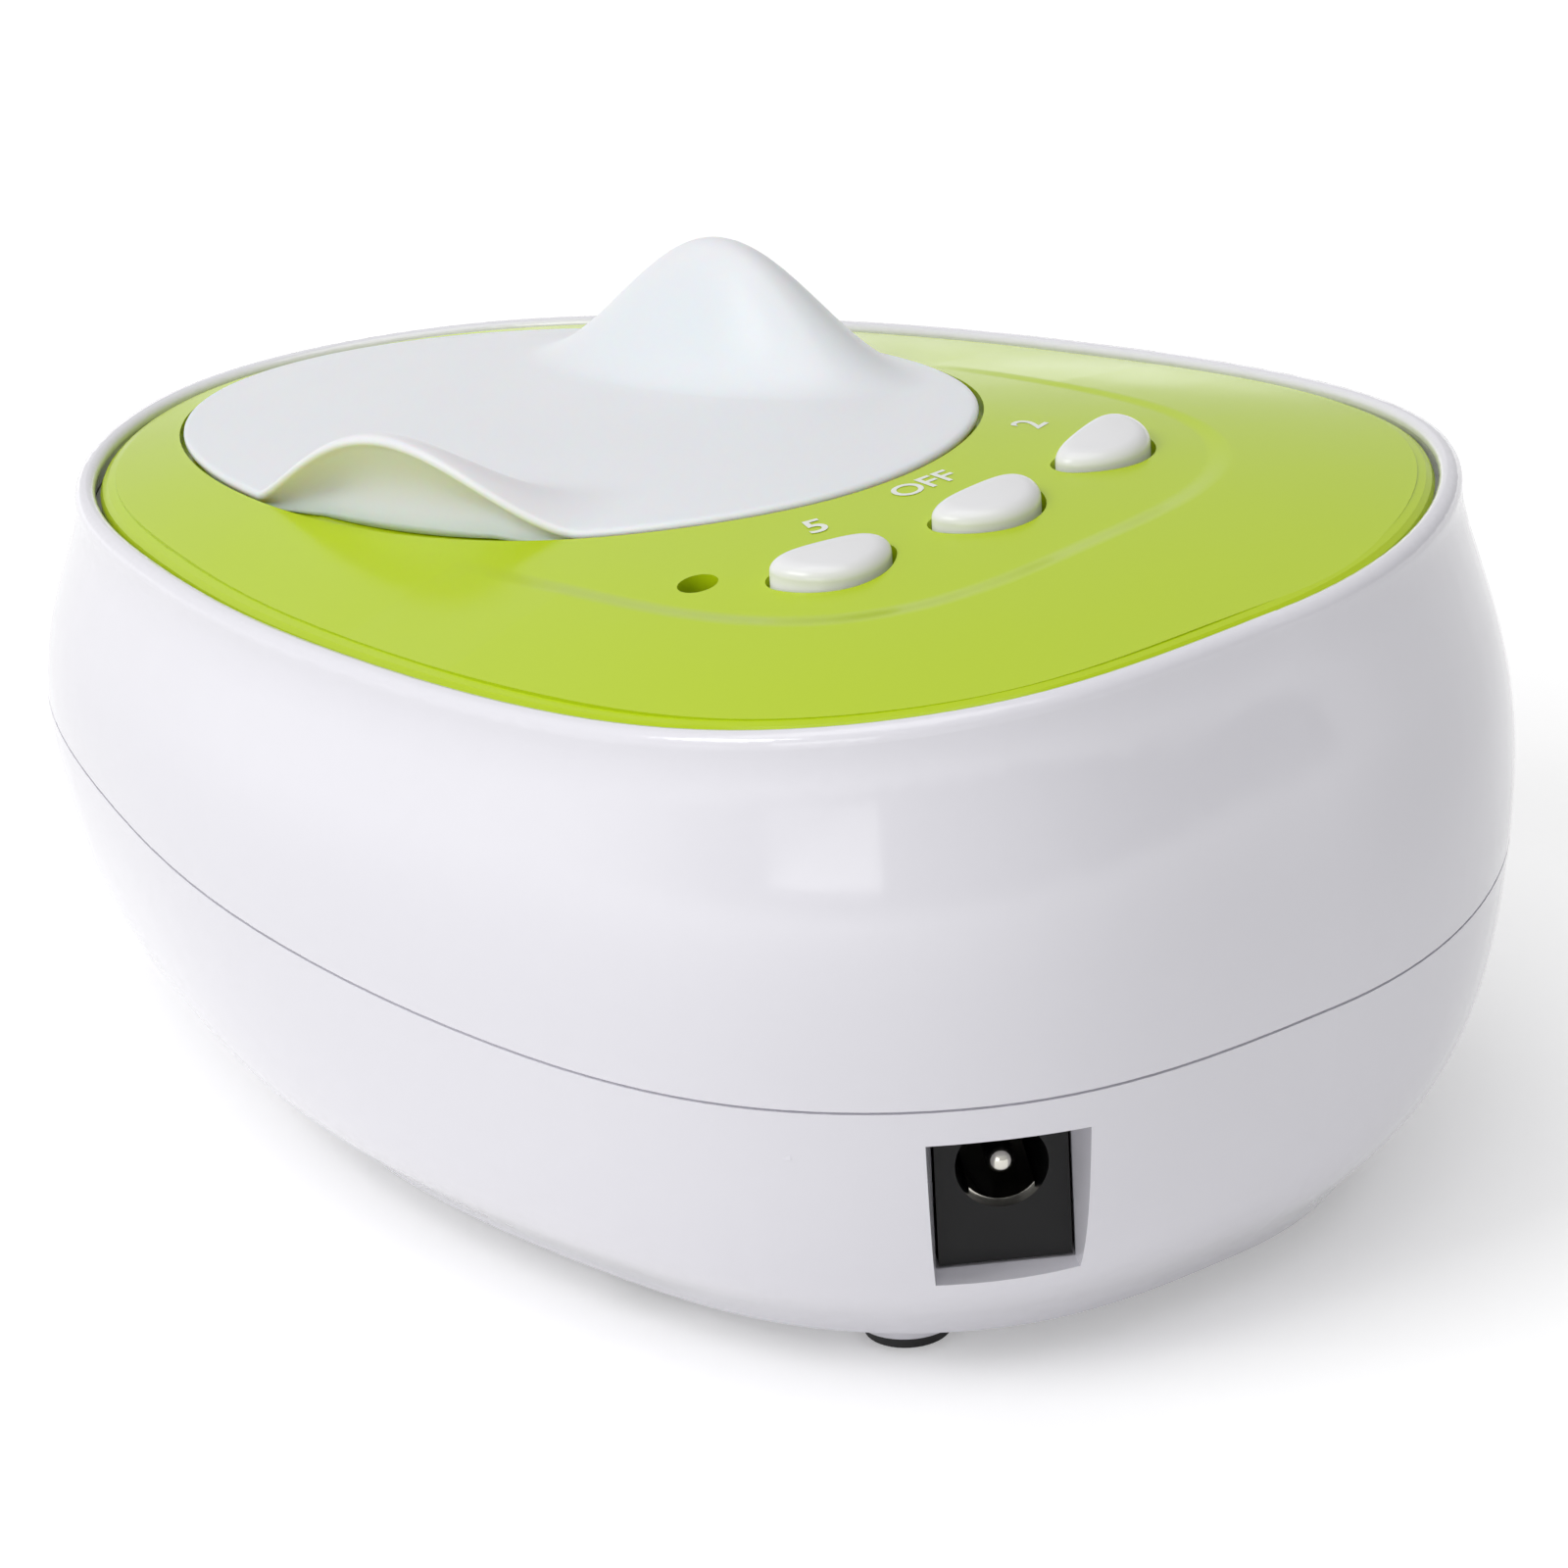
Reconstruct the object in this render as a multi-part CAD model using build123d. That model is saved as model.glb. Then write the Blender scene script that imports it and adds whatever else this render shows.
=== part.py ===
from build123d import *
from math import atan2, copysign, cos, hypot, pi, radians, sin, sqrt
import os

# Ultrasonic contact lens cleaner, in millimetres.
# X runs along the case toward its wide, tall end, Y across it, Z up; Z = 0 is the table.

# ---- case: an egg-shaped plan, R(a) = PLAN_R * (1 + sum of c_k cos(k a)) ----
PLAN_R = 50.0
PLAN_BASE = {2: 0.183, 3: -0.038, 4: 0.018, 5: -0.020}
PLAN_TOWARD_RIM = {2: 0.018, 3: -0.020, 4: -0.009}
PLAN_POINTS = 16
LEVEL_ROUNDS = 6

CASE_UNDERSIDE = 2.5
RIM_HEIGHT = 46.1
RIM_SLOPE = 0.121
SEAM_HEIGHT = 25.0
SEAM_GROOVE = 0.2
SEAM_GROOVE_DEPTH = 0.3
# how far the side stands in from the plan outline, by share of the height to the rim
SIDE_INSET = ((0.0, 10.4), (0.05, 8.4), (0.15, 4.2), (0.3, 1.4), (0.5, 0.1), (0.75, 1.1), (1.0, 3.1))
WALL = 2.0
# the wall is thicker, measured level, up to these shares of the height, where the side leans under the case
WALL_LEAN = ((0.15, 1.45), (0.3, 1.1))
RIM_WIDTH = 2.3
RIM_OPENING = (-2.0, 4.0)
RIM_ROUND_OUT = 0.9
RIM_ROUND_IN = 0.6
TAB_ANGLES = (15, 90, 150, 210, 270, 315)
LOCATE_SHARE = 0.5
LOCATE_WIDE = 7.0
LOCATE_THICK = 1.4
LOCATE_RISE = 2.5
LOCATE_ROOT = 4.0
LOCATE_GAP = 0.35

# ---- coloured top panel, crowned like a shallow dome ----
PANEL_GAP = 0.15
PANEL_THICK = 2.0
PANEL_DROP = 0.3
PANEL_CROWN = 4.2
PANEL_EDGE = 1.0
PANEL_FIELD = ((-62.0, 56.0), (-43.0, 43.0), (17, 13))
# inset and height of the panel's edge, in shares of PANEL_EDGE
PANEL_EDGE_PROFILE = ((0.0, -6.0), (0.0, -1.0), (0.2, -0.6), (0.6, -0.3), (1.2, -0.12), (1.2, 8.0))
CROWN_REACH = 1.3
CROWN_SPAN_MORE = 4.0
LEDGE_THICK = 1.6
LEDGE_WIDTH = 3.0
LEDGE_GAP = 0.05

# ---- lid, an egg-shaped oval with a bell-shaped grip and a lifted lip ----
LID_CENTRE = (-20.4, 1.4)
LID_HALF = (35.6, 21.9)
LID_POWER = 2.02
LID_EGG = 0.115
LID_POINTS = 24
LID_STAND = 0.35
LID_THICK = 1.3
LID_SEAT = 1.25
LID_GAP = 0.35
LID_SKIRT_GAP = 0.4
LID_SKIRT_THICK = 1.2
BELL_CENTRE = (-17.0, 14.6)
BELL_HEIGHT = 9.6
BELL_HALF_LENGTH = 19.5
BELL_HALF_WIDTH = 9.0
LIP_PEAK_X = -14.5
LIP_RISE = 6.6
LIP_FOLD = 9.0
# length and fullness of the lip's slope on each side of its peak
LIP_REAR = (15.5, 0.6)
LIP_FORE = (16.5, 0.7)
LIP_WALL_INSET = 1.8
LIP_WALL_THICK = 1.4
LIP_WALL_SHORT = 1.5
LIP_WALL_Y = (-22.9, -6.0)
LID_FIELD = ((-60.0, 20.0), (-26.0, 28.0), (33, 31))
LID_UNDER_COUNTS = (14, 12)
LID_ROOT = 0.5
SKIRT_REACH = 8.0
SOCKET_HALF = (4.4, 2.1)
SOCKET_LOW = 46.2

# ---- tank ----
TANK_CENTRE_X = -19.3
MOUTH_HALF = (27.0, 16.5)
TANK_TOP_HALF = (25.6, 15.2)
TANK_BOTTOM_HALF = (22.5, 12.8)
TANK_WALL = 0.8
TANK_FLOOR_Z = 20.0
FLANGE_WIDTH = 3.2
MOUTH_SLOPE = 0.17
GASKET_THICK = 0.8
GASKET_WIDTH = 2.6
COLLAR_WIDTH = 3.2
COLLAR_DROP = 0.5
COLLAR_REACH = 4.0
GASKET_INSET = 0.3
TANK_BRIM = (0.5, -3.0)
TANK_CORNER = 3.0

TRANSDUCER_R = 11.0
TRANSDUCER_THICK = 3.0

# ---- push buttons on an arc round the lid ----
BUTTON_ARC_CENTRE_X = -20.0
BUTTON_ARC_R = 45.2
BUTTON_STEP = 16.5
BUTTON_HALF = (2.7, 4.4)
BUTTON_LEAN = 0.2
BUTTON_POINTS = 12
BUTTON_STAND = 1.5
BUTTON_GAP = 0.35
BUTTON_FLANGE = 0.9
BUTTON_FLANGE_THICK = 1.0
BUTTON_TRAVEL = 0.5
BUTTON_ROUND = 0.6
LED_AT = (16.6, -19.1)
LED_HOLE_R = 1.4
LED_R = 1.5
LED_TALL = 5.0
POST_REACH = 9.0

BUTTON_BOARD_TOP = 43.2
BOARD_THICK = 1.6
SWITCH_SIZE = 6.0
SWITCH_TALL = 3.5
PLUNGER_R = 1.75
PLUNGER_FIT = 0.05
PLUNGER_TOP = 48.2
PLUNGER_LOW = 1.4
PLUNGER_WELL = 0.8
BUTTON_POSTS = ((28.0, -20.0), (28.0, 20.0), (13.5, 16.5))
POST_R = 2.6
BOARD_CORNER = 2.0
BOARD_HOLE_GAP = 0.1
LEG_BELOW = 0.8

# ---- main board and power inlet ----
BOARD_TOP = 10.2
BOARD_X = (4.0, 42.0)
BOARD_HALF_Y = 19.0
BOARD_POSTS = ((8.0, -15.0), (8.0, 15.0), (38.0, 15.0))
JACK_FACE = (45.3, -20.8)
JACK_TURN = -37.2
JACK_WIDE = 9.0
JACK_TALL = 11.0
JACK_LONG = 14.0
JACK_HOLE_R = 3.15
JACK_HOLE_UP = 7.2
JACK_HOLE_DEEP = 10.0
JACK_PIN_R = 1.0
JACK_ROOT_R = 0.8
JACK_ROOT = 2.0
JACK_GAP = 0.2
CONTACT_LONG = 8.0
CONTACT_MIDDLE = 4.6
CONTACT_THICK = 0.3
CONTACT_HALF = 2.2
CONTACT_DROP = (4.0, 1.0)
THROAT_DEEP = 2.0
RECESS_DEEP = 9.0
RECESS_FLARE = 1.5
RECESS_FLOOR_DROP = 2.6
RECESS_CEILING = 22.7
RECESS_WALL = 1.6

TRANSFORMER_AT = (14.0, -2.0)
TRANSFORMER_SIZE = (16.0, 12.0, 14.0)
TRANSFORMER_UP = 1.0
CORE_LEG_SHARE = 0.3
CORE_SIDE_SHARE = 0.14
BOBBIN_GAP = (0.2, 0.1)
BOBBIN_ROUND = 1.5
BOBBIN_PIN_R = 0.4
BOBBIN_PIN_X = (-3.6, 0.0, 3.6)
BOBBIN_PIN_IN = 0.9
BOBBIN_PIN_RISE = 0.3
TRANSISTOR_AT = (26.0, 5.5)
TRANSISTOR_HALF = (5.0, 1.6)
TRANSISTOR_TALL = 9.0
TRANSISTOR_UP = 3.0
TRANSISTOR_TAB = (0.4, 6.0)
TRANSISTOR_HOLE_R = 1.8
TRANSISTOR_HOLE_UP = 3.2
TRANSISTOR_LEGS = (-2.54, 0, 2.54)
TRANSISTOR_LEG_HALF = (0.4, 0.3)
SINK_HALF = 8.0
SINK_THICK = 1.4
SINK_TALL = 19.0
SINK_FINS = (-7.5, -2.5, 2.5, 7.5)
SINK_FIN_HALF = 0.5
SINK_FIN_Y = (1.0, 6.0)
CAPACITOR_ROUND = 0.6
CAPACITORS = ((27.0, -4.0, 4.0, 12.0), (36.0, -2.5, 3.15, 11.0))
CHIP_AT = (20.0, -13.5)
CHIP_HALF = (5.0, 3.2)
CHIP_TALL = 3.4
LINK_LOW = (37.5, 7.0)
LINK_HIGH = (20.0, 7.0)
LINK_TALL = 3.0
LINK_CABLE = (0.7, 8.0)
LINK_BEND = 0.7
LINK_BEND_OUT = 2.5
LINK_HALF = (2.0, 5.0)
LEAD_R = 0.6
LEAD_Y = (-2.5, 2.5)
# stops of a lead in X, with the drop from the transducer or the rise over the board
LEAD_DROPS = ((-14.0, 0.0), (-11.0, 2.4), (-3.0, 2.8))
LEAD_RISES = ((2.0, 1.4), (3.0, 0.0))
BUTTON_BOARD_X = (11.5, 31.0)
BUTTON_BOARD_HALF_Y = 22.5

# ---- feet and screws ----
FEET = ((33.6, -19.1), (33.6, 19.1), (-30.0, -10.0), (-30.0, 10.0))
FOOT_R = 3.0
FOOT_THICK = 1.4
FOOT_SEAT = 0.4
FOOT_BOSS_R = (3.6, 5.2)
FOOT_BOSS_TOP = 4.2
FOOT_FIT = 0.05
CASE_SCREWS = ((17.0, -26.8), (17.0, 26.8), (-43.0, -12.5), (-43.0, 12.5))
SCREW_BOSS_R = 3.0
SCREW_BOSS_TOP = 37.0
SCREW_HOLE_RISE = 9.0
RIB_HALF = 0.9
RIB_REACH = (62.0, 45.0)
RIB_GAP = 0.5
RIB_DROP = 2.0
RIB_ROOT = 0.8
SCREW_R = 1.2
SCREW_GAP = 0.15
HEAD_GAP = 0.2
HEAD_WALL = 1.3
CROSS_SHARE = (0.62, 0.14, 0.4)
SCREW_HEAD_R = 2.3
SCREW_HEAD = 1.6
SCREW_HEAD_TOP = 6.6
SCREW_LONG = 26.0
SMALL_SCREW_R = 0.9
SMALL_HEAD_R = 1.9
SMALL_HEAD = 1.3
SMALL_LONG = 5.0

# ---- lens holder: two hinged baskets hung on an upright tab ----
BASKET_R = 8.0
BASKET_WALL = 1.2
BASKET_DEEP = 6.5
BASKET_FLOOR_Z = 22.2
BASKET_PITCH = 19.2
COVER_THICK = 1.2
COVER_GAP = 0.3
BRIDGE_THICK = 1.6
BRIDGE_HALF = (4.0, 3.0)
BRIDGE_Y = (-5.6, 8.0)
ARM_Y = 6.2
HINGE_R = 1.3
HINGE_PIN_R = 0.6
HINGE_FIT = 0.06
HINGE_LUG_Y = (3.4, 5.4)
HINGE_LUG_GAP = 0.35
HINGE_SLOT = 6.8
HINGE_APART = 3.4
PIN_LONG = 10.8
KNUCKLE_LONG = 6.0
COVER_SETBACK = 0.4
SLOT_WIDE = 1.1
SLOT_STEP = 2.3
SLOT_EDGE = 2.6
SLOT_COUNT = 2
WINDOW_TURNS = (-60.0, -30.0, 0.0, 30.0, 60.0)
WINDOW_IN = 2.5
WINDOW_FROM_EDGES = (2.2, 1.5)
TAB_WIDE = 6.0
TAB_THICK = 1.8
TAB_TOP = 50.5
TAB_Y = 10.6

# ---- how far blocks and cuts run past the faces that they meet ----
TALL = 80.0
FAR = 90.0
PRISM_LOW = 20.0
PRISM_HIGH = 75.0
BLOCK_TALL = 60.0
PAST = 1.0
OVERLAP = 0.5
SLOPE_STEP = 0.05
FIT_TOLERANCE = 0.02
UPWARD = 0.98


def plan_radius(a, share):
    """Case outline radius at angle a, at a share (0 base to 1 rim) of the height."""
    r = 1.0
    for k, c in PLAN_BASE.items():
        r += (c + PLAN_TOWARD_RIM.get(k, 0.0) * share) * cos(k * a)
    return PLAN_R * r


def plan_point(a, share, inset):
    """Point of the case outline moved in by inset along its own normal."""
    step = 0.001
    r = plan_radius(a, share)
    dr = (plan_radius(a + step, share) - plan_radius(a - step, share)) / (2 * step)
    size = hypot(r, dr)
    nx = (r * cos(a) + dr * sin(a)) / size
    ny = (r * sin(a) - dr * cos(a)) / size
    return r * cos(a) - inset * nx, r * sin(a) - inset * ny


def side_inset(share):
    """Inset of the outer side at a share of the height, straight between the stations."""
    for (s0, i0), (s1, i1) in zip(SIDE_INSET, SIDE_INSET[1:]):
        if share <= s1:
            return i0 + (i1 - i0) * (share - s0) / (s1 - s0)
    return SIDE_INSET[-1][1]


def rim_z(x):
    """Height of the rim's tilted plane."""
    return RIM_HEIGHT + RIM_SLOPE * x


def closed_spline(points):
    return Wire([Edge.make_spline([Vector(*p) for p in points], periodic=True)])


def case_section(share, inset, lift=0.0):
    """Closed curve of the case on the tilted plane that lies at this share of the height."""
    points = []
    for i in range(PLAN_POINTS):
        x, y = plan_point(2 * pi * i / PLAN_POINTS, share, inset)
        z = CASE_UNDERSIDE + share * (rim_z(x) - CASE_UNDERSIDE) + lift
        points.append((x, y, z))
    return closed_spline(points)


def level_points(z, inset_more):
    """Outline of the case at a level cut, moved in by inset_more."""
    points = []
    for i in range(PLAN_POINTS):
        a = 2 * pi * i / PLAN_POINTS
        x = PLAN_R * cos(a)
        for _ in range(LEVEL_ROUNDS):
            share = (z - CASE_UNDERSIDE) / (rim_z(x) - CASE_UNDERSIDE)
            x, y = plan_point(a, share, side_inset(share) + inset_more)
        points.append((x, y))
    return points


def case_loft(inset_more, shares):
    """Solid whose side stands in from the case's outer side by inset_more(share)."""
    return Solid.make_loft([case_section(s, side_inset(s) + inset_more(s)) for s in shares])


def rim_prism(inset, low, high):
    """Upright prism of the rim outline between two planes parallel to the rim."""
    return Solid.make_loft([case_section(1.0, inset, low), case_section(1.0, inset, high)], True)


def prism(points, low, high):
    base = Face(closed_spline([(x, y, low) for x, y in points]))
    return Solid.extrude(base, Vector(0, 0, high - low))


def lid_prism(grow):
    """Upright prism of the lid outline, a superellipse that is wider toward +X; grow moves it outward."""
    points = []
    for i in range(LID_POINTS):
        a = 2 * pi * i / LID_POINTS
        x = (LID_HALF[0] + grow) * copysign(abs(cos(a)) ** (2 / LID_POWER), cos(a))
        y = (LID_HALF[1] + grow) * copysign(abs(sin(a)) ** (2 / LID_POWER), sin(a))
        points.append((LID_CENTRE[0] + x, LID_CENTRE[1] + y * (1 + LID_EGG * x / LID_HALF[0])))
    return prism(points, PRISM_LOW, PRISM_HIGH)


def box(x, y, z):
    """Box from (low, high) pairs."""
    size = (x[1] - x[0], y[1] - y[0], z[1] - z[0])
    return Pos((x[0] + x[1]) / 2, (y[0] + y[1]) / 2, (z[0] + z[1]) / 2) * Box(*size)


def rod(x, y, low, high, r):
    return Pos(x, y, (low + high) / 2) * Cylinder(r, high - low)


def above(height, x_range, y_range, counts, thick=0.0):
    """Block of everything over the surface z = height(x, y), or over its underside if it has a thickness."""
    rows = []
    for i in range(counts[0]):
        x = x_range[0] + (x_range[1] - x_range[0]) * i / (counts[0] - 1)
        row = []
        for j in range(counts[1]):
            y = y_range[0] + (y_range[1] - y_range[0]) * j / (counts[1] - 1)
            gx = (height(x + SLOPE_STEP, y) - height(x - SLOPE_STEP, y)) / (2 * SLOPE_STEP)
            gy = (height(x, y + SLOPE_STEP) - height(x, y - SLOPE_STEP)) / (2 * SLOPE_STEP)
            row.append(Vector(x, y, height(x, y) - thick * sqrt(1 + gx * gx + gy * gy)))
        rows.append(row)
    face = Face.make_surface_from_array_of_points(rows, tol=FIT_TOLERANCE, min_deg=3, max_deg=3)
    return Solid.extrude(face, Vector(0, 0, BLOCK_TALL))


def panel_z(x, y):
    """Top of the panel: the plane of the rim with a shallow crown on it."""
    edge = plan_radius(atan2(y, x), 1.0) - SIDE_INSET[-1][1] - RIM_WIDTH
    crown = PANEL_CROWN * (1 - min(hypot(x, y) / edge, CROWN_REACH) ** 2)
    return rim_z(x) - PANEL_DROP + crown


def lid_half_width(x):
    """Half width of the lid outline at x."""
    share = (x - LID_CENTRE[0]) / LID_HALF[0]
    t = min(1.0, abs(share))
    return LID_HALF[1] * (1 - t ** LID_POWER) ** (1 / LID_POWER) * (1 + LID_EGG * share)


def lip_share(x):
    """Height of the lip's wave at x, 0 to 1: a raised cosine to a power."""
    length, fullness = LIP_REAR if x < LIP_PEAK_X else LIP_FORE
    t = (x - LIP_PEAK_X) / length
    return (0.5 * (1 + cos(pi * t))) ** fullness if abs(t) < 1 else 0.0


def bell(x, y):
    """Bell-shaped grip: a raised cosine, longer in X than in Y."""
    d = hypot((x - BELL_CENTRE[0]) / BELL_HALF_LENGTH, (y - BELL_CENTRE[1]) / BELL_HALF_WIDTH)
    return BELL_HEIGHT * 0.5 * (1 + cos(pi * d)) if d < 1 else 0.0


def lid_z(x, y):
    """Top of the lid: it follows the panel, with the bell and the wave of the lip added."""
    z = panel_z(x, y) + LID_STAND
    if y < 0:
        inboard = min(max((lid_half_width(x) + y - LID_CENTRE[1]) / LIP_FOLD, 0.0), 1.0)
        z += LIP_RISE * lip_share(x) * 0.5 * (1 + cos(pi * inboard))
    return z + bell(x, y)


def seat_z(x):
    """Plane of the tank mouth at the underside of the panel."""
    middle = panel_z(TANK_CENTRE_X, 0) - PANEL_CROWN * (MOUTH_HALF[0] / (PLAN_R + CROWN_SPAN_MORE)) ** 2
    return middle - PANEL_THICK + MOUTH_SLOPE * (x - TANK_CENTRE_X)


def tilted_oval(half, drop):
    """Ellipse on the plane of the tank mouth, lowered by drop."""
    centre = Vector(TANK_CENTRE_X, 0, seat_z(TANK_CENTRE_X) - drop)
    plane = Plane(origin=centre, x_dir=(1, 0, MOUTH_SLOPE), z_dir=(-MOUTH_SLOPE, 0, 1))
    return Wire([Edge.make_ellipse(half[0] * sqrt(1 + MOUTH_SLOPE**2), half[1], plane)])


def flat_oval(half, z):
    """Level ellipse round the middle of the tank."""
    plane = Plane(origin=Vector(TANK_CENTRE_X, 0, z), x_dir=(1, 0, 0), z_dir=(0, 0, 1))
    return Wire([Edge.make_ellipse(half[0], half[1], plane)])


def oval_prism(half, low, high):
    return Solid.extrude(Face(flat_oval(half, low)), Vector(0, 0, high - low))


def tilted_ring(outside, inside, drop_low, drop_high):
    """Elliptical ring between two planes parallel to the tank mouth."""
    ring = Solid.make_loft([tilted_oval(outside, drop_low), tilted_oval(outside, drop_high)], True)
    hole = [tilted_oval(inside, drop_low + PAST), tilted_oval(inside, drop_high - PAST)]
    return ring - Solid.make_loft(hole, True)


def grown(half, by):
    """Half length and half width, each made longer."""
    return half[0] + by, half[1] + by


def save(name, shape):
    """Write one node, moved so that the origin is under the middle of the case."""
    solids = [Pos(-CENTRE_X, 0, 0) * solid for solid in shape.solids()]
    result = solids[0] if len(solids) == 1 else Compound(children=solids)
    result.label = name
    export_step(result, f"parts/{name}.step")
    size = result.bounding_box()
    print(f"{name}: {len(solids)} solids, valid {all(s.is_valid for s in solids)}, "
          f"{size.min.X:.1f} {size.min.Y:.1f} {size.min.Z:.1f} to "
          f"{size.max.X:.1f} {size.max.Y:.1f} {size.max.Z:.1f}")
    return result


def wall_more(share):
    """Side thickness, measured level."""
    for limit, factor in WALL_LEAN:
        if share <= limit:
            return WALL * factor
    return WALL if share < 1 else RIM_WIDTH


SHARES = [s for s, _ in SIDE_INSET]
INNER_SHARES = SHARES[1:]
HINGE_Z = BASKET_FLOOR_Z + BASKET_DEEP + COVER_GAP + COVER_THICK / 2
LEG_END_Z = BOARD_TOP - BOARD_THICK - LEG_BELOW


def slab(low, high):
    return box((-FAR, FAR), (-FAR, FAR), (low, high))


def lower_part(solid, level):
    return solid - slab(level, TALL)


def upper_part(solid, level):
    return solid - slab(-TALL, level)


def at_jack(shape):
    """Place a shape made with +X out of the socket and the socket face at x = 0."""
    return Pos(JACK_FACE[0], JACK_FACE[1], 0) * Rot(0, 0, JACK_TURN) * shape


def rect_at(x, half_y, low, high):
    corners = [(x, -half_y, low), (x, half_y, low), (x, half_y, high), (x, -half_y, high)]
    return Wire(Edge.make_line(Vector(*a), Vector(*b)) for a, b in zip(corners, corners[1:] + corners[:1]))


def recess_shape(grow):
    """The inlet recess: a straight throat round the socket, then a flared mouth."""
    half_y = JACK_WIDE / 2 + JACK_GAP + grow
    low = BOARD_TOP - JACK_GAP - grow
    high = BOARD_TOP + JACK_TALL + JACK_GAP + grow
    throat = box((-THROAT_DEEP, 0.0), (-half_y, half_y), (low, high))
    mouth = [rect_at(0.0, half_y, low, high)]
    mouth.append(rect_at(RECESS_DEEP, half_y + RECESS_FLARE, low - RECESS_FLOOR_DROP, RECESS_CEILING + grow))
    return at_jack(throat + Solid.make_loft(mouth, True))


def make_upper_shell(outer, hollow):
    """Side, rim lip, ledge under the panel, and screw bosses on ribs."""
    ledge_top = -PANEL_DROP - PANEL_THICK - LEDGE_GAP
    ring_out = SIDE_INSET[-1][1] + RIM_WIDTH
    ledge = rim_prism(ring_out - OVERLAP, ledge_top - LEDGE_THICK, ledge_top)
    ledge -= rim_prism(ring_out + LEDGE_WIDTH, ledge_top - LEDGE_THICK - PAST, ledge_top + PAST)
    bosses = []
    ribs = []
    for x, y in CASE_SCREWS:
        bosses.append(rod(x, y, SEAM_HEIGHT, SCREW_BOSS_TOP, SCREW_BOSS_R))
        height = (SEAM_HEIGHT + LOCATE_RISE + RIB_GAP, SCREW_BOSS_TOP - RIB_DROP)
        if x > 0:
            edge = copysign(RIB_REACH[1], y)
            ribs.append(box((x - RIB_HALF, x + RIB_HALF), (min(y, edge), max(y, edge)), height))
        else:
            ribs.append(box((-RIB_REACH[0], x), (y - RIB_HALF, y + RIB_HALF), height))
    inside = case_loft(lambda s: wall_more(s) - RIB_ROOT, INNER_SHARES)
    ribs = [rib & inside for rib in ribs]
    side = upper_part(outer - hollow, SEAM_HEIGHT)
    upper = side.fuse(ledge, *bosses, *ribs)
    holes = [rod(x, y, SEAM_HEIGHT - PAST, SEAM_HEIGHT + SCREW_HOLE_RISE, SCREW_R) for x, y in CASE_SCREWS]
    return upper.cut(*holes)


def make_lower_shell(outer, hollow):
    """Side, floor, locating tabs, foot and screw bosses, board posts and the inlet recess."""
    tabs = []
    for degrees in TAB_ANGLES:
        x, y = plan_point(radians(degrees), LOCATE_SHARE, WALL + LOCATE_GAP + LOCATE_THICK / 2)
        dx, dy = plan_point(radians(degrees), LOCATE_SHARE, 0.0)
        facing = Rot(0, 0, atan2(dy - y, dx - x) * 180 / pi)
        rise = LOCATE_RISE + LOCATE_ROOT
        tab = Pos(0, 0, SEAM_HEIGHT + LOCATE_RISE - rise / 2) * Box(LOCATE_THICK, LOCATE_WIDE, rise)
        root = Pos((WALL + LOCATE_GAP) / 2, 0, SEAM_HEIGHT - LOCATE_ROOT / 2 - OVERLAP)
        root *= Box(WALL + LOCATE_GAP - OVERLAP, LOCATE_WIDE, LOCATE_ROOT - 2 * OVERLAP)
        tabs.append(Pos(x, y, 0) * facing * (tab + root))
    groove = slab(SEAM_HEIGHT - SEAM_GROOVE, SEAM_HEIGHT + PAST)
    groove -= prism(level_points(SEAM_HEIGHT, SEAM_GROOVE_DEPTH), 0.0, TALL)
    added = [*tabs, recess_shape(RECESS_WALL) & outer]
    removed = [groove, recess_shape(0.0)]
    boss_low = FOOT_THICK - FOOT_SEAT
    for x, y in FEET:
        cone = Cone(FOOT_BOSS_R[0], FOOT_BOSS_R[1], FOOT_BOSS_TOP - boss_low)
        added.append(Pos(x, y, (boss_low + FOOT_BOSS_TOP) / 2) * cone)
        removed.append(rod(x, y, -PAST, FOOT_THICK, FOOT_R + FOOT_FIT))
    for x, y in CASE_SCREWS:
        added.append(rod(x, y, CASE_UNDERSIDE + OVERLAP, SEAM_HEIGHT, SCREW_HEAD_R + HEAD_WALL) & outer)
        removed.append(rod(x, y, -PAST, SCREW_HEAD_TOP, SCREW_HEAD_R + HEAD_GAP))
        removed.append(rod(x, y, 0.0, SEAM_HEIGHT + PAST, SCREW_R + SCREW_GAP))
    for x, y in BOARD_POSTS:
        added.append(rod(x, y, CASE_UNDERSIDE + PAST, BOARD_TOP - BOARD_THICK, POST_R))
        removed.append(rod(x, y, BOARD_TOP - SMALL_LONG, BOARD_TOP, SMALL_SCREW_R))
    side = lower_part(outer - hollow, SEAM_HEIGHT)
    return side.fuse(*added).cut(*removed)


def round_rim(upper):
    """Round the two edges of the flat top of the rim lip."""
    tops = [f for f in upper.faces() if f.geom_type == GeomType.PLANE and f.normal_at().Z > UPWARD]
    top = max(tops, key=lambda f: f.center().Z)
    outer_edges = top.outer_wire().edges()
    rounded = upper.fillet(RIM_ROUND_OUT, outer_edges)
    tops = [f for f in rounded.faces() if f.geom_type == GeomType.PLANE and f.normal_at().Z > UPWARD]
    top = max(tops, key=lambda f: f.center().Z)
    return rounded.fillet(RIM_ROUND_IN, top.inner_wires()[0].edges())


def button_places():
    """(name, x, y, turn) of the three caps along their arc."""
    places = []
    for name, turn in (("long", -BUTTON_STEP), ("off", 0.0), ("short", BUTTON_STEP)):
        a = radians(turn)
        places.append((name, BUTTON_ARC_CENTRE_X + BUTTON_ARC_R * cos(a), BUTTON_ARC_R * sin(a), turn))
    return places


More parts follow.
